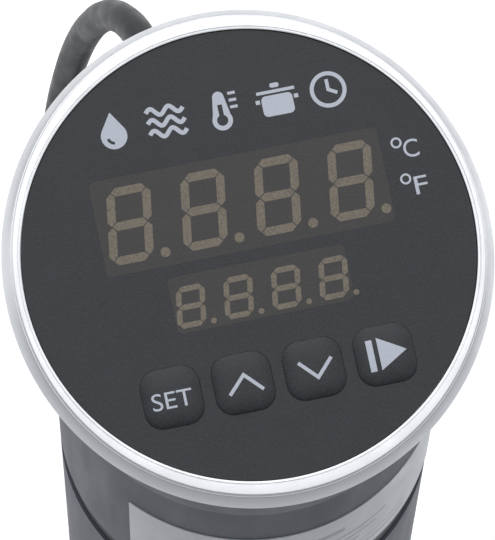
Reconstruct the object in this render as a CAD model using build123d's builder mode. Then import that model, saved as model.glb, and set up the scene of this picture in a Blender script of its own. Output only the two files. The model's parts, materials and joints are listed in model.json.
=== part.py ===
"""Immersion circulator for low-temperature cooking: tilted control head, slim body, steel heating skirt.

Frame: millimetres, +Z up along the body axis, origin at the centre of the flat base, controls facing -Y.
"""
import os
from math import cos, pi, radians, sin, sqrt, tan

from build123d import *

os.makedirs("parts", exist_ok=True)

# ---- driving dimensions: control head
head_tilt = 12.6            # slant of the control face, in degrees
face_height = 385.0         # centre of the control face above the base
face_shift = 1.25           # the face centre sits this far behind the body axis
panel_radius = 38.5         # round membrane panel
panel_thick = 0.8
backing_thick = 2.0         # moulded plate behind the membrane
panel_gap = 0.12            # membrane edge to bezel
bezel_rise = 0.3            # bezel stands proud of the membrane
bezel_crown = 1.6           # flat crown of the bezel, beyond the membrane
bezel_splay = 1.8           # the sloped flank's foot, beyond the crown
bezel_depth = 3.5           # face plane down to the bezel's lower edge
bezel_step = 0.55           # crown height above the flank
bezel_spigot = 3.0          # ring that enters the housing
groove_width = 0.15         # fine line turned into the crown
key_size = 10.0
key_corner = 3.1
key_rise = 0.85             # dome height above the membrane
key_travel = 0.4
key_gap = 0.12              # key to membrane opening
key_flange = 0.5            # retaining rim beyond the key
key_stem = 1.8              # the key reaches this far below the membrane's face
key_clearance = 0.85        # round the rim in the backing plate
key_pitch = 12.2
key_row_x = 0.45            # centre of the key row
key_row_y = -21.35
window_gap = 0.04           # lens to membrane opening
main_window = (50.0, 16.6)
main_window_at = (0.55, 8.9)
timer_window = (30.6, 9.8)
timer_window_at = (0.6, -6.3)
window_corner = 0.9
module_gap = 0.2            # display module to its opening
main_module_depth = 8.0     # display module behind the main lens
board_thick = 1.6
board_radius = 33.5
post_circle = 29.8          # posts that carry the display board
post_radius = 2.2
lamp_x = 27.6               # unit lamps behind the degree marks
lamp_rows = (6.8, 12.8)

# ---- driving dimensions: body
body_radius = 34.5
body_wall = 2.4
flare_length = 33.0         # the cylinder turns into the flare this far below the face centre
flare_foot_margin = 1.2     # bezel overhangs the flare by this much
band_low = 300.5            # rubber band between the two housings
band_height = 7.0
band_inset = 0.6
spigot_wall = 2.2
spigot_gap = 0.15           # spigot inside the upper housing
foot_gap = 0.5              # skirt to the housing's foot
spigot_rise = 5.0           # spigot stands above the band inside the upper housing
foot_height = 158.0         # lowest edge of the lower housing
foot_radius = 30.0
foot_taper_top = 176.0
label_gap = 2.5             # label above the band
label_height = 28.3
label_start = -49.5         # degrees round from the front, to the left
label_end = 64.0
label_thick = 0.2
housing_screw_angles = (55, 125)
housing_screw_rise = 2.5    # screw axis above the band
screw_head = 2.7            # three-millimetre screws: head, shank, clearance hole, tapped hole
screw_shank = 1.4
screw_clear = 1.6
screw_tapped = 1.45
small_shank = 1.2           # smaller screws of the housing and the skirt
small_tapped = 1.25
small_head = 2.6

# ---- driving dimensions: steel skirt and base cap
skirt_radius = 27.5
skirt_wall = 0.8
skirt_low = 4.0
outlet_count = 8
outlet_width = 6.0
outlet_low = 27.0
outlet_high = 47.0
vent_count = 6
vent_radius = 2.5
vent_height = 136.0
cap_gap = 0.3
cap_wall = 1.8
cap_height = 22.0
cap_floor = 2.5
cap_slots = 12
inlet_inner = 9.5           # radial inlet slots in the cap's floor
inlet_margin = 4.3
inlet_width = 3.2
cap_twist = 30              # degrees from locked to released
stud_radius = 1.5
stud_count = 3
stud_height = 16.0
stud_proud = 1.5
stud_gap = 0.35

# ---- driving dimensions: bulkhead, heater, probes
bulkhead_low = 172.0
bulkhead_thick = 6.0
boss_depth = 24.0
boss_gap = 0.2
heater_tube_radius = 3.2
heater_inset = 9.7          # heater legs inside the skirt wall
heater_offset = 10.0
heater_low = 82.0
heater_bend = 12.0
terminal_rise = 8.0
probe_inset = 6.2           # probe axis inside the skirt wall
probe_radius = 2.0
probe_low = 86.0
level_probe_radius = 1.5
level_probe_row = 3.2
level_probe_lows = (118.0, 92.0)
thimble = 3.6               # screw hole's depth into the boss
skirt_screw_height = 153.0
skirt_screw_count = 3

# ---- driving dimensions: drive line
shaft_radius = 2.5
shaft_low = 24.0
shaft_joint = 188.0         # drive shaft meets the motor shaft inside the coupling
motor_shaft_radius = 2.0
motor_shaft_top = 261.0
running_gap = 0.05
seal_radius = 7.0
seal_height = 8.0
impeller_radius = 21.0
impeller_low = 31.0
impeller_height = 10.0
impeller_plate = 2.0
impeller_blades = 6
hub_radius = 5.0
spider_height = 66.0
spider_thick = 6.0
bush_radius = 4.0
coupling_radius = 6.0
coupling_half = 7.0
bracket_height = 200.0
bracket_thick = 4.0
leg_inset = 5.1             # bracket leg's axis inside the housing wall
leg_radius = 3.0
leg_angles = (90, 210, 330)
motor_radius = 18.0
motor_screw_circle = 13.0
motor_wall = 0.6
motor_height = 42.0
motor_end = 2.0
bearing_radius = 5.0
bearing_width = 4.0
fan_radius = 24.0
fan_low = 250.0
fan_height = 8.0
fan_blades = 7

# ---- driving dimensions: power electronics
board_face = 5.6            # rear face of the upright power board
board_low = 268.0
board_size = (48.0, 76.0)
solder_gap = 0.1
transformer_size = (30.0, 22.0, 24.0)
relay_size = (18.0, 15.0, 17.0)
capacitor_radius = 6.5
triac_size = (10.0, 4.2, 15.0)
sink_size = (29.0, 14.0)
sink_fin = 10.1

# ---- driving dimensions: pot clamp
collar_low = 178.0
collar_height = 28.0
collar_wall = 1.5           # the collar is a strap
jaw_thick = 4.2
collar_gap = 0.1
arm_width = 24.0
arm_setback = 12.0          # inner face of the clamp arm behind the pad's face
arm_thick = 6.0
arm_low = 142.0
bridge_thick = 12.0
screw_height = 156.0
screw_radius = 3.0
jaw_gap = 15.5              # pad face to body at rest
screw_seat = 3.0            # the screw's end stands this deep in the pad
knob_socket = 6.0
pad_radius = 9.0
pad_thick = 6.0
clamp_close = 10.5          # travel of the pad towards the body
clamp_open = 4.0
knob_radius = 11.0
knob_length = 14.0

# ---- driving dimensions: mains lead
cord_diameter = 6.5
gland_height = 292.0
gland_radius = 7.0
gland_proud = 3.0
relief_length = 22.0
relief_root_radius = 5.6
relief_tip_radius = 4.1
coil_centre = (48.8, 154.8)
coil_mid_radius = 36.0
coil_half_width = 8.0
coil_low = 0.8
coil_height = 19.6
plug_size = (34.0, 24.0, 20.0)
plug_height = 10.3
plug_relief = 14.0
blade_length = 17.0
blade_gap = 12.7

# ---- worked-out places
face = Plane(origin=(0, face_shift, face_height), x_dir=(1, 0, 0),
             z_dir=(0, -sin(radians(head_tilt)), cos(radians(head_tilt))))
slope = 1 / cos(radians(head_tilt))     # a round post cut on the slant is this much longer
ledge = panel_thick + backing_thick
board_depth = panel_thick + main_module_depth
body_bore = body_radius - body_wall
bezel_top_radius = panel_radius + bezel_crown
bezel_foot_radius = bezel_top_radius + bezel_splay
flare_start = face_height - flare_length
leg_circle = body_bore - leg_inset
pad_face = body_radius + jaw_gap
arm_inner = pad_face + arm_setback
skirt_bore = skirt_radius - skirt_wall
skirt_top = bulkhead_low
boss_low = bulkhead_low - boss_depth
bulkhead_top = bulkhead_low + bulkhead_thick
band_high = band_low + band_height
label_low = band_high + label_gap
label_high = label_low + label_height
housing_screw_height = band_high + housing_screw_rise
probe_circle = skirt_bore - probe_inset
heater_half_span = skirt_bore - heater_inset
spigot_radius = body_bore - spigot_gap
spigot_bore = spigot_radius - spigot_wall
spigot_top = band_high + spigot_rise
foot_bore = skirt_radius + foot_gap
motor_low = bracket_height + bracket_thick
motor_high = motor_low + motor_height
key_places = [(key_row_x + key_pitch * (index - 1.5), key_row_y) for index in range(4)]
key_names = ["key_set", "key_up", "key_down", "key_start"]


def save(part, name):
    """Label one finished piece and write it."""
    part.label = name
    export_step(part, f"parts/{name}.step")


def radial_plane(angle, height):
    """A plane on the body axis at a height, facing outwards at an angle in degrees."""
    outward = (cos(radians(angle)), sin(radians(angle)), 0)
    return Plane(origin=(0, 0, height), x_dir=(-outward[1], outward[0], 0), z_dir=outward)


def ring_part(outer, inner, low, high):
    """A plain ring about the body axis, from low to high."""
    with BuildPart() as ring:
        with BuildSketch(Plane.XY.offset(low)):
            Circle(outer)
            Circle(inner, mode=Mode.SUBTRACT)
        extrude(amount=high - low)
    return ring.part


def rod_part(x, y, radius, low, high, tip=0.0):
    """An upright rod, with its lower end rounded by tip."""
    with BuildPart() as rod:
        with BuildSketch(Plane.XY.offset(low)):
            with Locations((x, y)):
                Circle(radius)
        extrude(amount=high - low)
        if tip:
            fillet(rod.edges().group_by(Axis.Z)[0], radius=tip)
    return rod.part


def block_part(x, y, low, size):
    """An upright block whose footprint is centred on x, y."""
    with BuildPart() as block:
        with BuildSketch(Plane.XY.offset(low)):
            with Locations((x, y)):
                RectangleRounded(size[0], size[1], 0.6)
        extrude(amount=size[2])
    return block.part


# ---- bezel ring
with BuildPart() as bezel_ring:
    with BuildSketch(face.offset(-bezel_depth)):
        Ellipse(bezel_foot_radius, bezel_foot_radius * slope)
    with BuildSketch(face.offset(-bezel_step)):
        Ellipse(bezel_top_radius + 0.25, (bezel_top_radius + 0.25) * slope)
    loft()
    with BuildSketch(face.offset(-bezel_step)):
        Ellipse(bezel_top_radius, bezel_top_radius * slope)
    extrude(amount=bezel_step + bezel_rise)
    top_edge = bezel_ring.edges().group_by(Axis(face.origin, face.z_dir))[-1]
    fillet(top_edge, radius=0.3)
    with BuildSketch(face.offset(-bezel_depth)):
        Circle(panel_radius - 1.4)
    extrude(amount=-bezel_spigot)
    with BuildSketch(face.offset(-ledge)):
        Circle(panel_radius + panel_gap)
    extrude(amount=ledge + bezel_rise, mode=Mode.SUBTRACT)
    with BuildSketch(face.offset(-ledge)):
        Circle(panel_radius - 2.9)
    extrude(amount=-(bezel_depth + bezel_spigot - ledge), mode=Mode.SUBTRACT)
    with BuildSketch(face.offset(bezel_rise)):
        Circle(panel_radius + 0.55 + groove_width)
        Circle(panel_radius + 0.55, mode=Mode.SUBTRACT)
    extrude(amount=-0.25, mode=Mode.SUBTRACT)
save(bezel_ring.part, "bezel_ring")

# ---- membrane panel with its key openings and lens openings
with BuildPart() as front_panel:
    with BuildSketch(face):
        Circle(panel_radius)
        with Locations(*key_places):
            RectangleRounded(key_size + 2 * key_gap, key_size + 2 * key_gap, key_corner + key_gap,
                             mode=Mode.SUBTRACT)
        with Locations(main_window_at):
            RectangleRounded(*main_window, window_corner, mode=Mode.SUBTRACT)
        with Locations(timer_window_at):
            RectangleRounded(*timer_window, window_corner, mode=Mode.SUBTRACT)
    extrude(amount=-panel_thick)
save(front_panel.part, "front_panel")

for lens_name, lens_size, lens_at in (("main_lens", main_window, main_window_at),
                                      ("timer_lens", timer_window, timer_window_at)):
    with BuildPart() as lens:
        with BuildSketch(face):
            with Locations(lens_at):
                RectangleRounded(lens_size[0] - 2 * window_gap, lens_size[1] - 2 * window_gap,
                                 window_corner - window_gap)
        extrude(amount=-panel_thick)
    save(lens.part, lens_name)

# ---- domed keys, each with a rim that holds it behind the membrane
for key_name, key_at in zip(key_names, key_places):
    with BuildPart() as key:
        with BuildSketch(face.offset(-key_stem)):
            with Locations(key_at):
                RectangleRounded(key_size, key_size, key_corner)
        extrude(amount=key_stem + key_rise)
        fillet(key.edges().group_by(Axis(face.origin, face.z_dir))[-1], radius=0.7)
        with BuildSketch(face.offset(-panel_thick - 0.1)):
            with Locations(key_at):
                RectangleRounded(key_size + 2 * key_flange, key_size + 2 * key_flange, key_corner)
        extrude(amount=-0.6)
    save(key.part, key_name)

# ---- backing plate, display board and what it carries
with BuildPart() as panel_backing:
    with BuildSketch(face.offset(-panel_thick)):
        Circle(panel_radius)
        with Locations(*key_places):
            RectangleRounded(key_size + 2 * key_clearance, key_size + 2 * key_clearance, key_corner,
                             mode=Mode.SUBTRACT)
        with Locations(main_window_at):
            RectangleRounded(main_window[0] + 0.6, main_window[1] + 0.6, window_corner, mode=Mode.SUBTRACT)
        with Locations(timer_window_at):
            RectangleRounded(timer_window[0] + 0.6, timer_window[1] - 0.2, window_corner, mode=Mode.SUBTRACT)
        with Locations(*[(lamp_x, row) for row in lamp_rows]):
            Circle(1.7, mode=Mode.SUBTRACT)
    extrude(amount=-backing_thick)
    with BuildSketch(face.offset(-ledge)):
        with PolarLocations(post_circle, 4):
            Circle(post_radius)
            Circle(0.8, mode=Mode.SUBTRACT)
    extrude(amount=-(board_depth - ledge))
save(panel_backing.part, "panel_backing")

with BuildPart() as display_board:
    with BuildSketch(face.offset(-board_depth)):
        Circle(board_radius)
        with PolarLocations(post_circle, 4):
            Circle(1.1, mode=Mode.SUBTRACT)
    extrude(amount=-board_thick)
save(display_board.part, "display_board")

timer_module = (timer_window[0], timer_window[1] - 0.6)
for module_name, module_size, module_at in (("main_display", main_window, main_window_at),
                                            ("timer_display", timer_module, timer_window_at)):
    with BuildPart() as module:
        with BuildSketch(face.offset(-panel_thick)):
            with Locations(module_at):
                Rectangle(module_size[0] - 2 * module_gap, module_size[1] - 2 * module_gap)
        extrude(amount=-main_module_depth)
    save(module.part, module_name)

with BuildPart() as key_switches:
    with BuildSketch(face.offset(-board_depth)):
        with Locations(*key_places):
            RectangleRounded(6.2, 6.2, 0.4)
    extrude(amount=3.5)
    with BuildSketch(face.offset(-board_depth + 3.5)):
        with Locations(*key_places):
            Circle(1.7)
    extrude(amount=board_depth - 3.5 - key_stem - key_travel - 0.05)
save(key_switches.part, "key_switches")

with BuildPart() as unit_lamps:
    with BuildSketch(face.offset(-board_depth)):
        with Locations(*[(lamp_x, row) for row in lamp_rows]):
            Circle(1.5)
    extrude(amount=board_depth - panel_thick - 0.3)
save(unit_lamps.part, "unit_lamps")

with BuildPart() as board_screws:
    with BuildSketch(face.offset(-board_depth - board_thick)):
        with PolarLocations(post_circle, 4):
            Circle(1.9)
    extrude(amount=-1.3)
    with BuildSketch(face.offset(-board_depth - board_thick)):
        with PolarLocations(post_circle, 4):
            Circle(0.78)
    extrude(amount=5.0)
save(board_screws.part, "board_screws")

# ---- upper housing: cylinder that flares out to meet the slanted bezel
flare_top = face.offset(-bezel_depth)
flare_radius = bezel_foot_radius - flare_foot_margin
with BuildPart() as upper_housing:
    with BuildSketch(Plane.XY.offset(flare_start)):
        Circle(body_radius)
    with BuildSketch(flare_top):
        Ellipse(flare_radius, flare_radius * slope)
    loft()
    with BuildSketch(Plane.XY.offset(band_high)):
        Circle(body_radius)
    extrude(amount=flare_start - band_high)
    with BuildSketch(Plane.XY.offset(flare_start)):
        Circle(body_bore)
    with BuildSketch(flare_top):
        Ellipse(flare_radius - body_wall, (flare_radius - body_wall) * slope)
    loft(mode=Mode.SUBTRACT)
    with BuildSketch(Plane.XY.offset(band_high)):
        Circle(body_bore)
    extrude(amount=flare_start - band_high, mode=Mode.SUBTRACT)
    for angle in housing_screw_angles:
        with BuildSketch(radial_plane(angle, housing_screw_height)):
            Circle(screw_clear)
        extrude(amount=body_radius + 5, mode=Mode.SUBTRACT)
save(upper_housing.part, "upper_housing")

with BuildPart() as rating_label:
    with BuildSketch(Plane.XY.offset(label_low)):
        with BuildLine():
            front = -90
            outer_arc = CenterArc((0, 0), body_radius + label_thick, front + label_start,
                                  label_end - label_start)
            inner_arc = CenterArc((0, 0), body_radius, front + label_start, label_end - label_start)
            Line(outer_arc @ 0, inner_arc @ 0)
            Line(outer_arc @ 1, inner_arc @ 1)
        make_face()
    extrude(amount=label_high - label_low)
save(rating_label.part, "rating_label")

save(ring_part(body_radius - band_inset, spigot_radius, band_low, band_high), "joint_band")

# ---- lower housing
with BuildPart() as lower_housing:
    with BuildSketch(Plane.XZ):
        with BuildLine():
            Polyline((foot_bore, foot_height), (foot_radius, foot_height), (body_radius, foot_taper_top),
                     (body_radius, band_low), (spigot_radius, band_low), (spigot_radius, spigot_top),
                     (spigot_bore, spigot_top), (spigot_bore, band_low - 4), (body_bore, band_low - 8),
                     (body_bore, bulkhead_low), (foot_bore, bulkhead_low), close=True)
        make_face()
    revolve(axis=Axis.Z)
    with BuildSketch(Plane(origin=(0, 0, gland_height), x_dir=(1, 0, 0), z_dir=(0, 1, 0))):
        Circle(gland_radius - 1.5)
    extrude(amount=body_radius + 5, mode=Mode.SUBTRACT)
    for angle in housing_screw_angles:
        with BuildSketch(radial_plane(angle, housing_screw_height)):
            Circle(small_tapped)
        extrude(amount=body_radius + 5, mode=Mode.SUBTRACT)
save(lower_housing.part, "lower_housing")

with BuildPart() as housing_screws:
    for angle in housing_screw_angles:
        radial = radial_plane(angle, housing_screw_height)
        with BuildSketch(radial.offset(body_radius)):
            Circle(screw_head)
        extrude(amount=1.3)
        with BuildSketch(radial.offset(spigot_radius - spigot_wall - 1)):
            Circle(small_shank)
        extrude(amount=body_radius - spigot_radius + spigot_wall + 1.2)
save(housing_screws.part, "housing_screws")

# ---- bulkhead that closes the body above the water
bulkhead_holes = [(side * heater_half_span, row) for side in (-1, 1) for row in (-heater_offset, heater_offset)]
with BuildPart() as bulkhead:
    with BuildSketch(Plane.XY.offset(bulkhead_low)):
        Circle(body_bore - 0.2)
    extrude(amount=bulkhead_thick)
    with BuildSketch(Plane.XY.offset(boss_low)):
        Circle(skirt_bore - boss_gap)
    extrude(amount=boss_depth)
    with BuildSketch(Plane.XY.offset(boss_low)):
        Circle(seal_radius)
        with Locations(*bulkhead_holes):
            Circle(heater_tube_radius)
        with Locations((probe_circle, 0)):
            Circle(probe_radius)
        with Locations((-probe_circle, level_probe_row), (-probe_circle, -level_probe_row)):
            Circle(level_probe_radius)
    extrude(amount=boss_depth + bulkhead_thick, mode=Mode.SUBTRACT)
    with BuildSketch(Plane.XY.offset(bulkhead_top - 4)):
        for angle in leg_angles:
            with Locations((leg_circle * cos(radians(angle)), leg_circle * sin(radians(angle)))):
                Circle(screw_tapped)
    extrude(amount=4, mode=Mode.SUBTRACT)
    for turn in range(skirt_screw_count):
        angle = 360 / skirt_screw_count * turn
        radial = radial_plane(angle, skirt_screw_height)
        with BuildSketch(radial.offset(skirt_bore - thimble)):
            Circle(small_shank)
        extrude(amount=6, mode=Mode.SUBTRACT)
save(bulkhead.part, "bulkhead")

# ---- steel skirt with outlet slots, vents, screw holes and bayonet stud holes
with BuildPart() as skirt_tube:
    with BuildSketch(Plane.XY.offset(skirt_low)):
        Circle(skirt_radius)
        Circle(skirt_bore, mode=Mode.SUBTRACT)
    extrude(amount=skirt_top - skirt_low)
    for turn in range(outlet_count):
        angle = 360 / outlet_count * (turn + 0.5)
        radial = radial_plane(angle, (outlet_low + outlet_high) / 2)
        with BuildSketch(radial):
            SlotOverall(outlet_high - outlet_low, outlet_width, rotation=90)
        extrude(amount=skirt_radius + 3, mode=Mode.SUBTRACT)
    for turn in range(vent_count):
        angle = 360 / vent_count * turn
        radial = radial_plane(angle, vent_height)
        with BuildSketch(radial):
            Circle(vent_radius)
        extrude(amount=skirt_radius + 3, mode=Mode.SUBTRACT)
    for turn in range(skirt_screw_count):
        angle = 360 / skirt_screw_count * turn
        radial = radial_plane(angle, skirt_screw_height)
        with BuildSketch(radial):
            Circle(screw_clear)
        extrude(amount=skirt_radius + 3, mode=Mode.SUBTRACT)
    for turn in range(stud_count):
        angle = 360 / stud_count * turn - 90
        radial = radial_plane(angle, stud_height)
        with BuildSketch(radial):
            Circle(stud_radius)
        extrude(amount=skirt_radius + 3, mode=Mode.SUBTRACT)
save(skirt_tube.part, "skirt_tube")

with BuildPart() as skirt_screws:
    for turn in range(skirt_screw_count):
        angle = 360 / skirt_screw_count * turn
        radial = radial_plane(angle, skirt_screw_height)
        with BuildSketch(radial.offset(skirt_radius + 0.05)):
            Circle(small_head)
        extrude(amount=1.2)
        with BuildSketch(radial.offset(skirt_bore - thimble + 0.4)):
            Circle(small_shank - 0.05)
        extrude(amount=4.2)
save(skirt_screws.part, "skirt_screws")

with BuildPart() as cap_studs:
    for turn in range(stud_count):
        angle = 360 / stud_count * turn - 90
        radial = radial_plane(angle, stud_height)
        with BuildSketch(radial.offset(skirt_bore - 0.6)):
            Circle(stud_radius)
        extrude(amount=skirt_wall + 0.6 + stud_proud)
save(cap_studs.part, "cap_studs")

# ---- base cap with a bayonet, turned to release
cap_bore = skirt_radius + cap_gap
cap_radius = cap_bore + cap_wall
inlet_outer = cap_bore - inlet_margin
stud_slot = stud_radius + stud_gap
stud_turn = stud_slot / cap_bore * 180 / pi                 # half angle of one stud with its clearance
with BuildPart() as base_cap:
    with BuildSketch(Plane.XY):
        Circle(cap_radius)
    extrude(amount=cap_height)
    fillet(base_cap.edges().group_by(Axis.Z)[0], radius=1.2)
    with BuildSketch(Plane.XY.offset(cap_floor)):
        Circle(cap_bore)
    extrude(amount=cap_height - cap_floor, mode=Mode.SUBTRACT)
    with BuildSketch(Plane.XY):
        with PolarLocations((inlet_inner + inlet_outer) / 2, cap_slots):
            SlotOverall(inlet_outer - inlet_inner, inlet_width)
    extrude(amount=cap_floor, mode=Mode.SUBTRACT)
    for turn in range(stud_count):
        locked = 360 / stud_count * turn - 90
        released = locked - cap_twist
        with BuildSketch(Plane.XY.offset(stud_height - stud_slot)):
            with BuildLine():
                outer_arc = CenterArc((0, 0), cap_radius + 2, released - stud_turn, cap_twist + 2 * stud_turn)
                inner_arc = CenterArc((0, 0), cap_bore - 1, released - stud_turn, cap_twist + 2 * stud_turn)
                Line(outer_arc @ 0, inner_arc @ 0)
                Line(outer_arc @ 1, inner_arc @ 1)
            make_face()
        extrude(amount=2 * stud_slot, mode=Mode.SUBTRACT)
        with BuildSketch(Plane.XY.offset(stud_height - stud_slot)):
            with BuildLine():
                outer_arc = CenterArc((0, 0), cap_radius + 2, released - stud_turn, 2 * stud_turn)
                inner_arc = CenterArc((0, 0), cap_bore - 1, released - stud_turn, 2 * stud_turn)
                Line(outer_arc @ 0, inner_arc @ 0)
                Line(outer_arc @ 1, inner_arc @ 1)
            make_face()
        extrude(amount=cap_height, mode=Mode.SUBTRACT)
save(base_cap.part, "base_cap")

# ---- heating elements: two like hairpins hung from the bulkhead
with BuildPart() as heating_elements:
    for row in (-heater_offset, heater_offset):
        heater_ends = [(heater_half_span, row, bulkhead_top + terminal_rise), (heater_half_span, row, heater_low),
                       (-heater_half_span, row, heater_low), (-heater_half_span, row, bulkhead_top + terminal_rise)]
        with BuildLine() as hairpin:
            FilletPolyline(*heater_ends, radius=heater_bend)
        with BuildSketch(Plane(origin=heater_ends[0], z_dir=(0, 0, -1))):
            Circle(heater_tube_radius)
        sweep(path=hairpin.wires()[0])
save(heating_elements.part, "heating_elements")

save(rod_part(probe_circle, 0, probe_radius, probe_low, bulkhead_top + terminal_rise, 1.8), "temperature_probe")
with BuildPart() as level_probes:
    for row, low in zip((-level_probe_row, level_probe_row), level_probe_lows):
        with BuildSketch(Plane.XY.offset(low)):
            with Locations((-probe_circle, row)):
                Circle(level_probe_radius)
        extrude(amount=bulkhead_top + terminal_rise - low)
save(level_probes.part, "level_probes")

# ---- drive line
save(ring_part(seal_radius, shaft_radius + running_gap, bulkhead_top - seal_height, bulkhead_top), "shaft_seal")
save(rod_part(0, 0, shaft_radius, shaft_low, shaft_joint, 0.4), "drive_shaft")
save(rod_part(0, 0, motor_shaft_radius, shaft_joint, motor_shaft_top), "motor_shaft")

with BuildPart() as shaft_coupling:
    with BuildSketch(Plane.XY.offset(shaft_joint - coupling_half)):
        Circle(coupling_radius)
        Circle(shaft_radius, mode=Mode.SUBTRACT)
    extrude(amount=coupling_half)
    with BuildSketch(Plane.XY.offset(shaft_joint)):
        Circle(coupling_radius)
        Circle(motor_shaft_radius, mode=Mode.SUBTRACT)
    extrude(amount=coupling_half)
save(shaft_coupling.part, "shaft_coupling")

with BuildPart() as impeller:
    with BuildSketch(Plane.XY.offset(impeller_low)):
        Circle(hub_radius)
    extrude(amount=impeller_height)
    with BuildSketch(Plane.XY.offset(impeller_low + impeller_height - impeller_plate)):
        Circle(impeller_radius)
    extrude(amount=impeller_plate)
    with BuildSketch(Plane.XY.offset(impeller_low)):
        with PolarLocations((hub_radius + impeller_radius) / 2 - 0.5, impeller_blades):
            Rectangle(impeller_radius - hub_radius, 1.5, rotation=18)
    extrude(amount=impeller_height - impeller_plate)
    with BuildSketch(Plane.XY.offset(impeller_low)):
        Circle(shaft_radius)
    extrude(amount=impeller_height, mode=Mode.SUBTRACT)
save(impeller.part, "impeller")

with BuildPart() as impeller_nut:
    with BuildSketch(Plane.XY.offset(impeller_low - 4)):
        RegularPolygon(4.2, 6)
        Circle(shaft_radius, mode=Mode.SUBTRACT)
    extrude(amount=4)
save(impeller_nut.part, "impeller_nut")

with BuildPart() as guide_spider:
    with BuildSketch(Plane.XY.offset(spider_height)):
        Circle(skirt_bore - boss_gap)
        Circle(skirt_bore - boss_gap - 2.2, mode=Mode.SUBTRACT)
        with PolarLocations(skirt_bore / 2, 3, start_angle=90):
            Rectangle(skirt_bore - 3, 4)
        Circle(bush_radius + 2.5)
        Circle(bush_radius, mode=Mode.SUBTRACT)
    extrude(amount=spider_thick)
save(guide_spider.part, "guide_spider")
bush_low, bush_high = spider_height - 1, spider_height + spider_thick + 1
save(ring_part(bush_radius, shaft_radius + running_gap, bush_low, bush_high), "guide_bush")

with BuildPart() as motor_bracket:
    with BuildSketch(Plane.XY.offset(bracket_height)):
        Circle(body_bore - 0.2)
        Circle(9, mode=Mode.SUBTRACT)
        with PolarLocations(motor_screw_circle, 3, start_angle=30):
            Circle(screw_clear, mode=Mode.SUBTRACT)
        with PolarLocations(24.5, 3, start_angle=30):
            SlotOverall(14, 7, rotation=90, mode=Mode.SUBTRACT)
    extrude(amount=bracket_thick)
    with BuildSketch(Plane.XY.offset(bulkhead_top)):
        with PolarLocations(leg_circle, 3, start_angle=leg_angles[0]):
            Circle(leg_radius)
    extrude(amount=bracket_height - bulkhead_top)
    with BuildSketch(Plane.XY.offset(bulkhead_top)):
        with PolarLocations(leg_circle, 3, start_angle=leg_angles[0]):
            Circle(screw_clear)
    extrude(amount=motor_low - bulkhead_top, mode=Mode.SUBTRACT)
save(motor_bracket.part, "motor_bracket")

with BuildPart() as chassis_screws:
    with BuildSketch(Plane.XY.offset(motor_low)):
        with PolarLocations(leg_circle, 3, start_angle=leg_angles[0]):
            Circle(screw_head)
    extrude(amount=2.2)
    with BuildSketch(Plane.XY.offset(bulkhead_top - 3.5)):
        with PolarLocations(leg_circle, 3, start_angle=leg_angles[0]):
            Circle(screw_shank)
    extrude(amount=motor_low - bulkhead_top + 3.5)
    with BuildSketch(Plane.XY.offset(bracket_height)):
        with PolarLocations(motor_screw_circle, 3, start_angle=30):
            Circle(small_head)
    extrude(amount=-2)
    with BuildSketch(Plane.XY.offset(bracket_height)):
        with PolarLocations(motor_screw_circle, 3, start_angle=30):
            Circle(screw_shank)
    extrude(amount=bracket_thick + motor_end)
save(chassis_screws.part, "chassis_screws")

with BuildPart() as motor_can:
    with BuildSketch(Plane.XY.offset(motor_low)):
        Circle(motor_radius)
    extrude(amount=motor_height)
    with BuildSketch(Plane.XY.offset(motor_low + motor_end)):
        Circle(motor_radius - motor_wall)
    extrude(amount=motor_height - 2 * motor_end, mode=Mode.SUBTRACT)
    with BuildSketch(Plane.XY.offset(motor_low)):
        Circle(bearing_radius)
        with PolarLocations(motor_screw_circle, 3, start_angle=30):
            Circle(screw_tapped)
    extrude(amount=motor_end, mode=Mode.SUBTRACT)
    with BuildSketch(Plane.XY.offset(motor_high - motor_end)):
        Circle(bearing_radius)
    extrude(amount=motor_end, mode=Mode.SUBTRACT)
save(motor_can.part, "motor_can")
with BuildPart() as motor_bearings:
    for bearing_low in (motor_low, motor_high - bearing_width):
        with BuildSketch(Plane.XY.offset(bearing_low)):
            Circle(bearing_radius)
            Circle(motor_shaft_radius + running_gap, mode=Mode.SUBTRACT)
        extrude(amount=bearing_width)
save(motor_bearings.part, "motor_bearings")
save(ring_part(motor_radius - motor_wall, 11.6, motor_low + 7, motor_high - 7), "motor_stator")
save(ring_part(11.0, motor_shaft_radius, motor_low + 9, motor_high - 9), "motor_rotor")

with BuildPart() as cooling_fan:
    with BuildSketch(Plane.XY.offset(fan_low)):
        Circle(8)
    extrude(amount=fan_height)
    for turn in range(fan_blades):
        angle = 360 / fan_blades * turn
        blade_plane = radial_plane(angle, fan_low + fan_height / 2)
        with BuildSketch(blade_plane.offset(7)):
            Rectangle(9.5, 1.2, rotation=32)
        extrude(amount=fan_radius - 7)
    with BuildSketch(Plane.XY.offset(fan_low)):
        Circle(motor_shaft_radius)
    extrude(amount=fan_height, mode=Mode.SUBTRACT)
save(cooling_fan.part, "cooling_fan")

# ---- power electronics in the upper housing
board_back = board_face - board_thick
board_block = (board_size[0], board_thick, board_size[1])
save(block_part(0, board_face - board_thick / 2, board_low, board_block), "power_board")
save(block_part(-2, board_back - transformer_size[1] / 2 - solder_gap, 276, transformer_size), "transformer")
save(block_part(13, board_back - relay_size[1] / 2 - solder_gap, 306, relay_size), "relay")
save(rod_part(-14, board_back - capacitor_radius - 2.5, capacitor_radius, 306, 330), "capacitor")
save(block_part(0, board_face + triac_size[1] / 2 + solder_gap, 290, triac_size), "triac")
with BuildPart() as heat_sink:
    with BuildSketch(Plane.XY.offset(282)):
        with Locations((0, board_face + 11.5)):
            Rectangle(*sink_size)
        with Locations((0, board_face + 11.5 + (sink_size[1] - sink_fin) / 2)):
            with GridLocations(4.2, 1, 6, 1):
                Rectangle(2.4, sink_fin, mode=Mode.SUBTRACT)
    extrude(amount=45)
save(heat_sink.part, "heat_sink")

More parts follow.
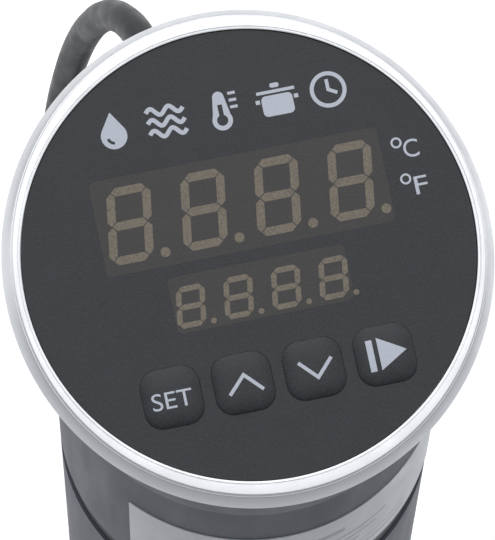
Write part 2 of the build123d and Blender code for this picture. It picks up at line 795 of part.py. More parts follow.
# ---- pot clamp
collar_bore = body_radius + collar_gap
collar_radius = collar_bore + collar_wall
screw_plane = Plane(origin=(0, 0, screw_height), x_dir=(1, 0, 0), z_dir=(0, 1, 0))
with BuildPart() as clamp_bracket:
    with BuildSketch(Plane.XY.offset(collar_low)):
        Circle(collar_radius)
    extrude(amount=collar_height)
    with BuildSketch(Plane.XY.offset(collar_low + collar_height - bridge_thick)):
        with Locations((0, (arm_inner + arm_thick) / 2)):
            Rectangle(arm_width, arm_inner + arm_thick)
    extrude(amount=bridge_thick)
    with BuildSketch(Plane.XY.offset(arm_low)):
        with Locations((0, arm_inner + arm_thick / 2)):
            Rectangle(arm_width, arm_thick)
    extrude(amount=collar_low + collar_height - arm_low)
    fillet(clamp_bracket.edges().filter_by(Axis.X).sort_by(Axis.Y)[-2:].sort_by(Axis.Z)[-1], radius=5)
    fillet(clamp_bracket.edges().filter_by(Axis.Y).group_by(Axis.Z)[0], radius=5)
    with BuildSketch(Plane.XY.offset(collar_low)):
        Circle(collar_bore)
    extrude(amount=collar_height, mode=Mode.SUBTRACT)
    with BuildSketch(screw_plane.offset(arm_inner)):
        Circle(screw_radius + running_gap)
    extrude(amount=arm_thick, mode=Mode.SUBTRACT)
    with BuildSketch(Plane.XY.offset(arm_low)):     # fixed jaw, facing the pad
        with Locations((0, collar_bore + jaw_thick / 2)):
            Rectangle(arm_width, jaw_thick)
    extrude(amount=collar_low + collar_height - arm_low)
save(clamp_bracket.part, "clamp_bracket")

knob_start = arm_inner + arm_thick + clamp_close + 1
with BuildPart() as clamp_screw:
    with BuildSketch(screw_plane.offset(pad_face + pad_thick - screw_seat)):
        Circle(screw_radius)
    extrude(amount=knob_start + knob_socket - pad_face - pad_thick + screw_seat)
save(clamp_screw.part, "clamp_screw")
with BuildPart() as clamp_pad:
    with BuildSketch(screw_plane.offset(pad_face)):
        Circle(pad_radius)
    extrude(amount=pad_thick)
    fillet(clamp_pad.edges().group_by(Axis.Y)[0], radius=0.8)
    with BuildSketch(screw_plane.offset(pad_face + pad_thick - screw_seat - 0.2)):
        Circle(screw_radius + running_gap)
    extrude(amount=screw_seat + 0.2, mode=Mode.SUBTRACT)
save(clamp_pad.part, "clamp_pad")
with BuildPart() as clamp_knob:
    with BuildSketch(screw_plane.offset(knob_start)):
        Circle(knob_radius)
        with PolarLocations(knob_radius + 1.6, 8):
            Circle(2.8, mode=Mode.SUBTRACT)
    extrude(amount=knob_length)
    fillet(clamp_knob.edges().group_by(Axis.Y)[-1], radius=1.0)
    with BuildSketch(screw_plane.offset(knob_start)):
        Circle(screw_radius)
    extrude(amount=knob_socket, mode=Mode.SUBTRACT)
save(clamp_knob.part, "clamp_knob")

# ---- cable gland and strain relief at the rear
gland_plane = Plane(origin=(0, 0, gland_height), x_dir=(1, 0, 0), z_dir=(0, 1, 0))
gland_face = body_radius + gland_proud
with BuildPart() as cable_gland:
    with BuildSketch(gland_plane.offset(body_radius)):
        Circle(gland_radius)
    extrude(amount=gland_proud)
    with BuildSketch(gland_plane.offset(body_bore - 3)):
        Circle(gland_radius - 1.6)
    extrude(amount=body_wall + 3)
save(cable_gland.part, "cable_gland")
with BuildPart() as strain_relief:
    with BuildSketch(gland_plane.offset(gland_face)):
        Circle(relief_root_radius)
    with BuildSketch(gland_plane.offset(gland_face + relief_length)):
        Circle(relief_tip_radius)
    loft()
save(strain_relief.part, "strain_relief")

# ---- mains lead: hangs from the relief and runs into a put-away coil on the floor behind the body
cord_points = [
    (0, gland_face + relief_length, gland_height),
    (0, 76, gland_height),
    (-1.5, 92.5, 284),
    (-5.5, 105, 267.5),
    (-11, 110.5, 242),
    (-16.5, 108.5, 211),
    (-19.5, 103.5, 178),
    (-19.5, 98.5, 144),
    (-17.5, 94.5, 112),
    (-15, 91.5, 82),
    (-12.6, 89.7, 52.6),
    (-13, 92, 30.8),
    (-11.2, 103.8, 13.4),
    (-6.7, 121.1, 4.1),
    (1.8, 139.2, 4.1),
]


def bend_radii(points):
    """As large an arc at each corner as its two runs allow."""
    spots = [Vector(*spot) for spot in points]
    radii = []
    for before, corner, after in zip(spots, spots[1:], spots[2:]):
        turn = (corner - before).get_angle(after - corner)
        shorter = min((corner - before).length, (after - corner).length)
        radii.append(0.45 * shorter / tan(radians(turn / 2)))
    return radii


cord_radii = bend_radii(cord_points)
print("cord arc radii:", [round(radius, 1) for radius in cord_radii])
with BuildPart() as mains_lead:
    with BuildLine() as cord_route:
        FilletPolyline(*cord_points, radius=cord_radii)
    with BuildSketch(Plane(origin=cord_points[0], z_dir=cord_route.wires()[0] % 0)):
        Circle(cord_diameter / 2)
    sweep(path=cord_route.wires()[0])
route_length = cord_route.wires()[0].length
print("cord tube length:", round(route_length, 1), "volume ratio:",
      round(mains_lead.part.volume / (route_length * pi * (cord_diameter / 2) ** 2), 4))
save(mains_lead.part, "mains_lead")

coil_outer = coil_mid_radius + coil_half_width
stub_reach = 34.0           # stub end, measured from its tangent point
diagonal = 1 / sqrt(2)
exit_tangent = (coil_centre[0] + coil_mid_radius * diagonal, coil_centre[1] - coil_mid_radius * diagonal)
plug_start = (exit_tangent[0] - stub_reach * diagonal, exit_tangent[1] - stub_reach * diagonal)
plug_plane = Plane(origin=(plug_start[0], plug_start[1], plug_height), x_dir=(diagonal, -diagonal, 0),
                   z_dir=(-diagonal, -diagonal, 0))
with BuildPart() as lead_coil:
    with BuildSketch(Plane.XY.offset(coil_low)):
        with Locations(coil_centre):
            Circle(coil_outer)
            Circle(coil_mid_radius - coil_half_width, mode=Mode.SUBTRACT)
    extrude(amount=coil_height)
    fillet(lead_coil.edges().filter_by(GeomType.CIRCLE), radius=2.5)
    lead_way = Vector(*cord_points[-1]) - Vector(*cord_points[-2])
    with BuildSketch(Plane(origin=cord_points[-1], z_dir=lead_way)):
        Circle(cord_diameter / 2)
    extrude(amount=stub_reach - 8)
    with BuildSketch(plug_plane):
        Circle(cord_diameter / 2)
    extrude(amount=-(stub_reach - 8))
save(lead_coil.part, "lead_coil")

tie_angle = 60
tie_plane = Plane(origin=(coil_centre[0], coil_centre[1], coil_low + coil_height / 2),
                  x_dir=(cos(radians(tie_angle)), sin(radians(tie_angle)), 0),
                  z_dir=(sin(radians(tie_angle)), -cos(radians(tie_angle)), 0))
with BuildPart() as cord_tie:
    with BuildSketch(tie_plane.offset(-4)):
        with Locations((coil_mid_radius, 0)):
            RectangleRounded(2 * coil_half_width + 2.8, coil_height + 1.5, 2.8)
            RectangleRounded(2 * coil_half_width + 1.6, coil_height + 0.3, 2.2, mode=Mode.SUBTRACT)
    extrude(amount=8)
save(cord_tie.part, "cord_tie")

# ---- plug
plug_body_length, plug_width, plug_thick = plug_size
with BuildPart() as plug_body:
    with BuildSketch(plug_plane):
        Circle(relief_tip_radius)
    with BuildSketch(plug_plane.offset(plug_relief)):
        Circle(relief_root_radius)
    loft()
    with BuildSketch(plug_plane.offset(plug_relief)):
        RectangleRounded(plug_width - 6, plug_thick - 5, 5)
    with BuildSketch(plug_plane.offset(plug_relief + plug_body_length)):
        RectangleRounded(plug_width, plug_thick, 6)
    loft()
save(plug_body.part, "plug_body")
pin_plane = plug_plane.offset(plug_relief + plug_body_length)
with BuildPart() as plug_pins:
    with BuildSketch(pin_plane):
        with Locations((-blade_gap / 2, -2.5), (blade_gap / 2, -2.5)):
            Rectangle(1.5, 6.3)
    extrude(amount=blade_length)
    with BuildSketch(pin_plane):
        with Locations((0, 6.0)):
            Circle(2.4)
    extrude(amount=blade_length + 3)
save(plug_pins.part, "plug_pins")
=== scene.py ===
"""Looks of the immersion circulator: control head, grey body, steel skirt, pot clamp and mains lead."""
import json
from math import cos, pi, radians, sin, tan

import bmesh
import bpy
from mathutils import Matrix, Vector


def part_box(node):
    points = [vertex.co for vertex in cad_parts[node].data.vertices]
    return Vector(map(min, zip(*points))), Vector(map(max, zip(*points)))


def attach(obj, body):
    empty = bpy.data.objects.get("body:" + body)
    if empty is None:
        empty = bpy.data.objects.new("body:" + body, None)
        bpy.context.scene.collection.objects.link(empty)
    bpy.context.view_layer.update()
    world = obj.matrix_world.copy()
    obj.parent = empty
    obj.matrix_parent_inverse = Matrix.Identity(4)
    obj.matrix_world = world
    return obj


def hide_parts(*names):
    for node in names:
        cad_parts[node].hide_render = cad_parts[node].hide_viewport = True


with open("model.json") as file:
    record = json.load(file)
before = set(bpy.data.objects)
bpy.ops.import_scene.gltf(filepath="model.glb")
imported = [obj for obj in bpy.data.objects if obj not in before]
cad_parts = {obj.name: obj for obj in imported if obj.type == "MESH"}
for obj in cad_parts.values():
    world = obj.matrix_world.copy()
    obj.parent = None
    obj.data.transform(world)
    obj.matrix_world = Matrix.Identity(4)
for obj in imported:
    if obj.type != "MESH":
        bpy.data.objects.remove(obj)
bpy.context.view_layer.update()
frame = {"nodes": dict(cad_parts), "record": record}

MM = 0.001

# ---- sizes that the looks share with the design, in millimetres
head_tilt = radians(12.6)
face_centre = (0.0, 1.25, 385.0)
panel_radius = 38.5
panel_thick = 0.8
bezel_bore = 38.62
bezel_rise = 0.3
bezel_top_radius = 40.1
bezel_flank_radius = 40.35
bezel_foot_radius = 41.9
bezel_step = 0.55
bezel_depth = 3.5
bezel_ledge = 2.8
bezel_inner_lip = 35.6
groove_inner = 39.05
groove_outer = 39.2
groove_depth = 0.25
slope = 1 / cos(head_tilt)
key_corner = 3.1
key_pitch = 12.2
key_row_x = 0.45
key_row_y = -21.35
key_rise = 0.85
key_skirt = 10.2            # moulded key, measured at its upright skirt
key_names = ["key_set", "key_up", "key_down", "key_start"]
main_window = (50.0, 16.6)
main_window_at = (0.55, 8.9)
timer_window = (30.6, 9.8)
timer_window_at = (0.6, -6.3)
window_corner = 0.9
film_gap = 0.015            # hairline between the film and what sits in its openings
print_thick = 0.012         # screen-printed ink on the film
print_sink = -0.05          # printed legends start this far under a key's skin
pictogram_row = 25.0        # middle of the row of marks, up the face
figure_thick = 0.008        # segment figures on the windows
pillow_fall = 3.4           # how late a key's pillow starts to fall away, and how roundly
pillow_round = 0.72
body_radius = 34.5
skirt_radius = 27.5
label_low = 310.0
label_high = 338.3
label_start = -49.5
label_end = 64.0
label_proud = 0.2
label_face = body_radius + label_proud
ink_sink = 0.02             # marks printed on a curved wall start this far inside it
bar_thick = 0.035
mark_thick = 0.06
low_water = 62.0            # level lines on the skirt, and the ticks between them
high_water = 126.0
water_line = 0.9
water_spread = 40           # degrees each way from the front
tick_spread = 6
tick_count = 7
tick_pitch = 8.0
tick_line = 0.5
cord_diameter = 6.5
cord_exit = (0.0, 59.5, 292.0)
relief_length = 22.0
relief_root = 5.6
relief_tip = 4.1
relief_ribs = 8
screw_radius = 3.0
thread_pitch = 4.0
thread_depth = 0.55
thread_step = 0.25
grip_count = 36
grip_width = 1.8
grip_length = 10.0
grip_height = 8.0           # middle of the ribs, under the bayonet slots

face_place = (Matrix.Translation(Vector(face_centre) * MM)
              @ Matrix.Rotation(head_tilt, 4, "X")
              @ Matrix.Scale(MM, 4))
world_place = Matrix.Scale(MM, 4)


# ---- studio, places in millimetres and powers in watts
sky_dark = 0.05
sky_bright = 0.95
painted_floor_glow = 0.30           # the floor glows with painted light, brightest near the object and fading with distance
studio_lights = [
    ("overhead", (60, 200, 1500), (0, 0, 385), (900, 900), 2.4),
    ("left_strip", (-700, 250, 420), (0, 0, 300), (250, 700), 0.6),
    ("right_strip", (700, 60, 420), (0, 0, 300), (250, 700), 0.6),
    ("back_wash", (0, 1000, 900), (0, 200, 0), (1200, 800), 3.0),
]


# ---- mesh tools
def add_object(name, mesh):
    """Puts a finished mesh into the scene, with its place in its points."""
    piece = bpy.data.objects.new(name, mesh)
    bpy.context.scene.collection.objects.link(piece)
    return piece


def mesh_piece(name, points, faces, place, finish, smooth=True):
    """One piece from points in millimetres, placed in the frame."""
    mesh = bpy.data.meshes.new(name)
    mesh.from_pydata([place @ Vector(point) for point in points], [], faces)
    work = bmesh.new()
    work.from_mesh(mesh)
    bmesh.ops.remove_doubles(work, verts=work.verts, dist=1e-7)
    bmesh.ops.recalc_face_normals(work, faces=work.faces)
    work.to_mesh(mesh)
    work.free()
    mesh.materials.append(finish)
    if smooth:
        mesh.shade_smooth()
    piece = add_object(name, mesh)
    if smooth:
        mesh.set_sharp_from_angle(angle=radians(35))
    return piece


def ring_faces(rings, count, closed_profile):
    """Quads between neighbouring rings of count points each."""
    last = rings if closed_profile else rings - 1
    faces = []
    for ring in range(last):
        following = (ring + 1) % rings
        for step in range(count):
            beyond = (step + 1) % count
            faces.append((ring * count + step, ring * count + beyond,
                          following * count + beyond, following * count + step))
    return faces


def turned(name, profile, place, finish, count=192, stretch=None, closed=True):
    """A piece turned from (radius, height) points. stretch gives each point's lengthening along local Y."""
    points = []
    for index, (radius, height) in enumerate(profile):
        longer = stretch[index] if stretch else 1.0
        for step in range(count):
            angle = 2 * pi * step / count
            points.append((radius * cos(angle), radius * longer * sin(angle), height))
    return mesh_piece(name, points, ring_faces(len(profile), count, closed), place, finish)


def rounded_corner(start, corner, end, steps=6):
    """Points of a quadratic bend from start to end, pulled towards corner."""
    bend = []
    for step in range(steps + 1):
        t = step / steps
        bend.append(tuple((1 - t) ** 2 * a + 2 * t * (1 - t) * b + t ** 2 * c
                          for a, b, c in zip(start, corner, end)))
    return bend


def rounded_box(centre, width, height, corner, steps=10):
    """Outline of a rounded rectangle, anticlockwise."""
    outline = []
    for quarter in range(4):
        middle_x = centre[0] + (width / 2 - corner) * (1 if quarter in (0, 3) else -1)
        middle_y = centre[1] + (height / 2 - corner) * (1 if quarter in (0, 1) else -1)
        for step in range(steps + 1):
            angle = pi / 2 * (quarter + step / steps)
            outline.append((middle_x + corner * cos(angle), middle_y + corner * sin(angle)))
    return outline


def circle_outline(centre, radius, count=40):
    """Outline of a circle."""
    return [(centre[0] + radius * cos(2 * pi * step / count), centre[1] + radius * sin(2 * pi * step / count))
            for step in range(count)]


def stroke_outline(line, width):
    """Outline of a line of constant width with mitred corners and square ends."""
    left, right = [], []
    for index, (x, y) in enumerate(line):
        before = line[max(index - 1, 0)]
        after = line[min(index + 1, len(line) - 1)]
        back = Vector((x - before[0], y - before[1]))
        ahead = Vector((after[0] - x, after[1] - y))
        back = back.normalized() if back.length else ahead.normalized()
        ahead = ahead.normalized() if ahead.length else back
        along = (back + ahead).normalized()
        side = Vector((-along.y, along.x))
        reach = width / 2 / max(side.dot(Vector((-ahead.y, ahead.x))), 0.35)
        left.append((x + side.x * reach, y + side.y * reach))
        right.append((x - side.x * reach, y - side.y * reach))
    return left + right[::-1]


def flat_piece(name, outlines, low, high, place, finish):
    """A flat piece of one thickness. An outline inside another is a hole."""
    curve = bpy.data.curves.new(name, "CURVE")
    curve.dimensions = "2D"
    curve.fill_mode = "BOTH"
    curve.extrude = (high - low) / 2
    for outline in outlines:
        spline = curve.splines.new("POLY")
        spline.points.add(len(outline) - 1)
        for point, (x, y) in zip(spline.points, outline):
            point.co = (x, y, 0, 1)
        spline.use_cyclic_u = True
    maker = bpy.data.objects.new(name, curve)
    bpy.context.scene.collection.objects.link(maker)
    mesh = bpy.data.meshes.new_from_object(maker.evaluated_get(bpy.context.evaluated_depsgraph_get()))
    bpy.data.objects.remove(maker)
    bpy.data.curves.remove(curve)
    mesh.transform(place @ Matrix.Translation((0, 0, (low + high) / 2)))
    mesh.name = name
    mesh.materials.clear()
    mesh.materials.append(finish)
    return add_object(name, mesh)


def text_piece(name, body, size, at, low, high, place, finish, shear=0.0):
    """Short functional legend, as a thin printed solid whose lower left corner is at."""
    text = bpy.data.curves.new(name, "FONT")
    text.body = body
    text.size = size
    text.shear = shear
    text.extrude = (high - low) / 2
    text.resolution_u = 6
    maker = bpy.data.objects.new(name, text)
    bpy.context.scene.collection.objects.link(maker)
    mesh = bpy.data.meshes.new_from_object(maker.evaluated_get(bpy.context.evaluated_depsgraph_get()))
    bpy.data.objects.remove(maker)
    bpy.data.curves.remove(text)
    mesh.transform(place @ Matrix.Translation((at[0], at[1], (low + high) / 2)))
    mesh.name = name
    mesh.materials.clear()
    mesh.materials.append(finish)
    return add_object(name, mesh)


# ---- material tools
class Finish:
    """A material under construction: a Principled shader and the textures that feed it."""

    def __init__(self, name, colour, roughness, metallic=0.0):
        self.material = bpy.data.materials.new(name)
        self.material.use_nodes = True
        self.tree = self.material.node_tree
        self.shader = self.tree.nodes["Principled BSDF"]
        self.shader.inputs["Metallic"].default_value = metallic
        self.shader.inputs["Roughness"].default_value = roughness
        self.shader.inputs["Base Color"].default_value = (*colour, 1)
        self.coordinates = self.tree.nodes.new("ShaderNodeTexCoord").outputs["Object"]
        self.height = None

    def node(self, kind, **settings):
        node = self.tree.nodes.new(kind)
        for key, value in settings.items():
            setattr(node, key, value)
        return node

    def link(self, source, target):
        self.tree.links.new(source, target)

    def place(self, scale=(1, 1, 1), turn=(0, 0, 0), at=(0, 0, 0)):
        """Object coordinates, turned and scaled."""
        mapping = self.node("ShaderNodeMapping")
        mapping.inputs["Location"].default_value = at
        mapping.inputs["Rotation"].default_value = turn
        mapping.inputs["Scale"].default_value = scale
        self.link(self.coordinates, mapping.inputs["Vector"])
        return mapping.outputs["Vector"]

    def noise(self, size, detail=2.0, rough=0.5, vector=None):
        """Noise whose grain is about size millimetres."""
        noise = self.node("ShaderNodeTexNoise")
        noise.inputs["Scale"].default_value = 1 / (size * MM)
        noise.inputs["Detail"].default_value = detail
        noise.inputs["Roughness"].default_value = rough
        self.link(vector or self.coordinates, noise.inputs["Vector"])
        return noise.outputs["Fac"]

    def ramp(self, factor, low, high, dark, light):
        """Colour between dark and light as factor goes from low to high."""
        ramp = self.node("ShaderNodeValToRGB")
        ramp.color_ramp.elements[0].position = low
        ramp.color_ramp.elements[1].position = high
        ramp.color_ramp.elements[0].color = (*dark, 1)
        ramp.color_ramp.elements[1].color = (*light, 1)
        self.link(factor, ramp.inputs["Fac"])
        return ramp.outputs["Color"]

    def spread(self, factor, low, high):
        """Value from low to high as factor goes through the middle of its range."""
        spread = self.node("ShaderNodeMapRange")
        spread.inputs["From Min"].default_value = 0.3
        spread.inputs["From Max"].default_value = 0.7
        spread.inputs["To Min"].default_value = low
        spread.inputs["To Max"].default_value = high
        self.link(factor, spread.inputs["Value"])
        return spread.outputs["Result"]

    def blend(self, factor, first, second, how="MIX"):
        """Mix of two colours. A fixed colour or amount is given as numbers."""
        mix = self.node("ShaderNodeMix", data_type="RGBA", blend_type=how)
        for socket, value in zip((mix.inputs["Factor"], mix.inputs[6], mix.inputs[7]), (factor, first, second)):
            if isinstance(value, (int, float)):
                socket.default_value = value
            elif isinstance(value, tuple):
                socket.default_value = (*value, 1)
            else:
                self.link(value, socket)
        return mix.outputs[2]

    def maths(self, operation, first, second=0.0, third=0.0):
        node = self.node("ShaderNodeMath", operation=operation)
        for socket, value in zip(node.inputs, (first, second, third)):
            if isinstance(value, (int, float)):
                socket.default_value = value
            else:
                self.link(value, socket)
        return node.outputs["Value"]

    def colour(self, source):
        self.link(source, self.shader.inputs["Base Color"])

    def roughness(self, source):
        self.link(source, self.shader.inputs["Roughness"])

    def bump(self, source, depth, strength=1.0):
        """Relief of depth millimetres. Calls add up."""
        bump = self.node("ShaderNodeBump")
        bump.inputs["Strength"].default_value = strength
        bump.inputs["Distance"].default_value = depth * MM
        self.link(source, bump.inputs["Height"])
        if self.height:
            self.link(self.height, bump.inputs["Normal"])
        self.height = bump.outputs["Normal"]
        self.link(self.height, self.shader.inputs["Normal"])

    def set(self, socket, value):
        self.shader.inputs[socket].default_value = value


def shade(colour, factor):
    """The same colour, lighter or darker."""
    return tuple(min(1.0, channel * factor) for channel in colour)


def moulded(name, colour, roughness=0.45, grain=0.5, depth=0.02, wander=0.12, coat=0.0):
    """Moulded plastic: spark-eroded grain, slight flow marks and uneven gloss."""
    finish = Finish(name, colour, roughness)
    fine = finish.noise(grain, 3, 0.6)
    broad = finish.noise(grain * 40, 2, 0.5)
    speckle = finish.ramp(fine, 0.3, 0.7, shade(colour, 1 - wander), shade(colour, 1 + wander))
    finish.colour(finish.blend(finish.spread(broad, 0.0, 0.5), speckle, shade(colour, 1 + wander)))
    finish.roughness(finish.spread(broad, roughness - 0.06, roughness + 0.06))
    finish.bump(fine, depth, 0.6)
    if coat:
        finish.set("Coat Weight", coat)
        finish.set("Coat Roughness", 0.1)
    return finish.material


def metal(name, colour, roughness=0.3, stretch=(1, 1, 1), line=0.08, depth=0.004, wander=0.12):
    """Metal with drawing, grinding or turning marks. stretch shortens the pattern's scale along the marks."""
    finish = Finish(name, colour, roughness, metallic=1.0)
    marks = finish.noise(line, 3, 0.6, finish.place(scale=stretch))
    smear = finish.noise(9.0, 3, 0.55)
    tone = finish.ramp(marks, 0.3, 0.7, shade(colour, 1 - wander), shade(colour, 1 + wander * 0.6))
    finish.colour(finish.blend(finish.spread(smear, 0.0, 0.35), tone, shade(colour, 0.88)))
    finish.roughness(finish.spread(marks, roughness - 0.07, roughness + 0.1))
    finish.bump(marks, depth, 0.5)
    return finish.material


def satin_silver():
    """Bezel: satin anodised metal with a very fine blast and a few handling smears."""
    base = (0.74, 0.75, 0.765)
    finish = Finish("satin_silver", base, 0.36, metallic=1.0)
    blast = finish.noise(0.09, 3, 0.7)
    smear = finish.noise(6.0, 4, 0.6)
    tone = finish.ramp(blast, 0.3, 0.72, (0.67, 0.68, 0.70), (0.83, 0.835, 0.845))
    finish.colour(finish.blend(finish.spread(smear, 0.0, 0.25), tone, (0.70, 0.71, 0.73)))
    finish.roughness(finish.spread(smear, 0.32, 0.43))
    finish.bump(blast, 0.006, 0.5)
    return finish.material


def grained_film(name, dark, light, specular=0.5):
    """Textured polyester film: close, sparkling grain over an ink layer."""
    finish = Finish(name, dark, 0.5)
    grain = finish.noise(0.42, 3, 0.75)
    cloud = finish.noise(5.0, 3, 0.5)
    ink = finish.ramp(grain, 0.28, 0.74, dark, light)
    finish.colour(finish.blend(finish.spread(cloud, 0.0, 0.18), ink, light))
    finish.roughness(finish.spread(grain, 0.40, 0.56))
    finish.bump(grain, 0.07, 0.9)
    finish.set("Specular IOR Level", specular)
    return finish.material


def printed_ink(name, colour, wander=0.08):
    """Screen-printed ink: dense, with a faint mesh grain."""
    finish = Finish(name, colour, 0.5)
    grain = finish.noise(0.2, 2, 0.6)
    finish.colour(finish.ramp(grain, 0.3, 0.7, shade(colour, 1 - wander), shade(colour, 1 + wander)))
    finish.roughness(finish.spread(grain, 0.42, 0.58))
    finish.bump(grain, 0.004, 0.5)
    return finish.material


def cord_rubber():
    """Extruded rubber jacket, slightly dusty."""
    finish = Finish("cord_rubber", (0.02, 0.021, 0.024), 0.5)
    drag = finish.noise(0.5, 3, 0.6)
    dust = finish.noise(4.0, 4, 0.6)
    skin = finish.ramp(drag, 0.3, 0.7, (0.010, 0.011, 0.013), (0.024, 0.026, 0.029))
    finish.colour(finish.blend(finish.spread(dust, 0.0, 0.4), skin, (0.038, 0.040, 0.044)))
    finish.roughness(finish.spread(dust, 0.36, 0.6))
    finish.bump(drag, 0.03, 0.5)
    return finish.material


def circuit_board():
    """Green solder mask over a web of copper tracks."""
    finish = Finish("circuit_board", (0.02, 0.12, 0.06), 0.35)
    cells = finish.node("ShaderNodeTexVoronoi", feature="DISTANCE_TO_EDGE", distance="MANHATTAN")
    cells.inputs["Scale"].default_value = 1 / (2.4 * MM)
    finish.link(finish.coordinates, cells.inputs["Vector"])
    tracks = finish.ramp(cells.outputs["Distance"], 0.04, 0.08, (0.05, 0.22, 0.09), (0.015, 0.09, 0.045))
    finish.colour(tracks)
    finish.bump(cells.outputs["Distance"], 0.03, 0.4)
    finish.roughness(finish.spread(finish.noise(0.8), 0.28, 0.42))
    return finish.material


def housing_paint():
    """Satin grey coating over a moulded shell: orange peel, fine fleck and light rub marks."""
    base = (0.074, 0.080, 0.100)
    finish = Finish("grey_housing", base, 0.5)
    fleck = finish.noise(0.16, 3, 0.7)
    peel = finish.noise(0.9, 2, 0.5)
    rub = finish.noise(7.0, 4, 0.65, finish.place(scale=(1, 1, 0.25)))
    tone = finish.ramp(fleck, 0.3, 0.72, shade(base, 0.85), shade(base, 1.2))
    finish.colour(finish.blend(finish.spread(rub, 0.0, 0.4), tone, shade(base, 1.25)))
    finish.roughness(finish.spread(rub, 0.46, 0.60))
    finish.bump(peel, 0.02, 0.5)
    finish.bump(fleck, 0.004, 0.4)
    finish.set("Specular IOR Level", 0.22)
    return finish.material


def label_foil():
    """Silver polyester foil, brushed along its length."""
    base = (0.45, 0.465, 0.485)
    finish = Finish("label_foil", base, 0.5, metallic=0.1)
    brush = finish.noise(0.12, 3, 0.6, finish.place(scale=(0.06, 0.06, 1)))
    cloud = finish.noise(5.0, 3, 0.5)
    tone = finish.ramp(brush, 0.3, 0.7, shade(base, 0.93), shade(base, 1.08))
    finish.colour(finish.blend(finish.spread(cloud, 0.0, 0.2), tone, shade(base, 1.12)))
    finish.roughness(finish.spread(cloud, 0.36, 0.48))
    finish.bump(brush, 0.004, 0.4)
    return finish.material


# ---- camera and lights
def make_camera():
    """Long lens above and in front of the control face."""
    camera = bpy.data.cameras.new("camera")
    camera.lens = 269.03
    camera.sensor_width = 36.0
    camera.clip_start = 0.05
    viewer = bpy.data.objects.new("camera", camera)
    right = Vector((0.976556, -0.214715, 0.015356))
    down = Vector((-0.194468, -0.910557, -0.364785))
    forward = Vector((0.092307, 0.353247, -0.930965))
    place = Matrix((right, -down, -forward)).transposed().to_4x4()
    place.translation = Vector((-63.76, -241.64, 1017.57)) * MM
    viewer.matrix_world = place
    bpy.context.scene.collection.objects.link(viewer)
    bpy.context.scene.camera = viewer


def area_light(name, at, towards, size, power, colour=(1, 1, 1)):
    """Soft rectangular light that faces a point. Places in millimetres."""
    light = bpy.data.lights.new(name, "AREA")
    light.shape = "RECTANGLE"
    light.size = size[0] * MM
    light.size_y = size[1] * MM
    light.energy = power
    light.color = colour
    lamp = bpy.data.objects.new(name, light)
    lamp.location = Vector(at) * MM
    aim = (Vector(towards) - Vector(at)).normalized()
    lamp.rotation_euler = aim.to_track_quat("-Z", "Y").to_euler()
    bpy.context.scene.collection.objects.link(lamp)


def make_surroundings():
    """White floor with a painted pool of light that fades to grey away from the object, a sky that is brightest
    overhead and behind, and soft lights.
    """
    world = bpy.data.worlds.new("studio")
    world.use_nodes = True
    nodes = world.node_tree.nodes
    links = world.node_tree.links
    direction = nodes.new("ShaderNodeTexCoord")
    facing = nodes.new("ShaderNodeVectorMath")
    facing.operation = "DOT_PRODUCT"
    facing.inputs[1].default_value = (0.12, 0.50, 0.86)
    level = nodes.new("ShaderNodeMapRange")
    level.inputs["From Min"].default_value = -0.55
    level.inputs["From Max"].default_value = 0.95
    level.inputs["To Min"].default_value = sky_dark
    level.inputs["To Max"].default_value = sky_bright
    sky = nodes["Background"]
    sky.inputs["Color"].default_value = (0.95, 0.97, 1.0, 1)
    links.new(direction.outputs["Generated"], facing.inputs[0])
    links.new(facing.outputs["Value"], level.inputs["Value"])
    links.new(level.outputs["Result"], sky.inputs["Strength"])
    bpy.context.scene.world = world
    reach = 12.0
    floor_mesh = bpy.data.meshes.new("floor")
    corners = [(-reach, -reach, 0), (reach, -reach, 0), (reach, reach, 0), (-reach, reach, 0)]
    floor_mesh.from_pydata(corners, [], [(0, 1, 2, 3)])
    finish = Finish("floor", (0.93, 0.93, 0.94), 0.8)
    # painted light: the floor's colour and glow fall from white within 0.45 m of a point behind the object to
    # grey beyond 0.8 m, a painted pool of light
    away = finish.node("ShaderNodeVectorMath", operation="DISTANCE")
    away.inputs[1].default_value = (0.0, 0.35, 0.0)
    finish.link(finish.coordinates, away.inputs[0])
    light_pool_falloff = finish.node("ShaderNodeMapRange")
    light_pool_falloff.inputs["From Min"].default_value = 0.45
    light_pool_falloff.inputs["From Max"].default_value = 0.80
    finish.link(away.outputs["Value"], light_pool_falloff.inputs["Value"])
    painted_light_pool = finish.ramp(light_pool_falloff.outputs["Result"], 0.0, 1.0, (0.94, 0.94, 0.945), (0.34, 0.345, 0.36))
    finish.colour(finish.blend(finish.spread(finish.noise(60, 2), 0.0, 0.06), painted_light_pool, (0.80, 0.80, 0.82)))
    finish.link(painted_light_pool, finish.shader.inputs["Emission Color"])
    finish.set("Emission Strength", painted_floor_glow)
    finish.set("Specular IOR Level", 0.1)
    floor_mesh.materials.append(finish.material)
    floor = add_object("floor", floor_mesh)
    for name, at, towards, size, power in studio_lights:
        area_light(name, at, towards, size, power)
    bpy.context.scene.view_settings.view_transform = "Standard"
    bpy.context.scene.view_settings.look = "None"


# ---- mains lead
lead_route = [(0, 59.5, 292), (0, 76, 292), (-1.5, 92.5, 284), (-5.5, 105, 267.5), (-11, 110.5, 242),
              (-16.5, 108.5, 211), (-19.5, 103.5, 178), (-19.5, 98.5, 144), (-17.5, 94.5, 112), (-15, 91.5, 82),
              (-12.6, 89.7, 52.6), (-13, 92, 30.8), (-11.2, 103.8, 13.4), (-6.7, 121.1, 4.1), (1.8, 139.2, 4.1)]
coil_centre = (48.8, 154.8)
coil_join = 155.0           # degrees round the coil where the lead joins it
coil_travel = 1640          # degrees wound in all
coil_step = 20
# degrees travelled, radius, height: two columns and three layers, changed between turns
coil_plan = [(0, 39.8, 4.1), (285, 39.8, 4.1), (345, 33.2, 4.1), (610, 33.2, 4.1), (672, 33.2, 10.6),
             (920, 33.2, 10.6), (975, 39.8, 10.6), (1250, 39.8, 10.6), (1308, 39.8, 17.1), (1660, 39.8, 17.1)]
plug_entry = (50.21, 105.3, 10.3)


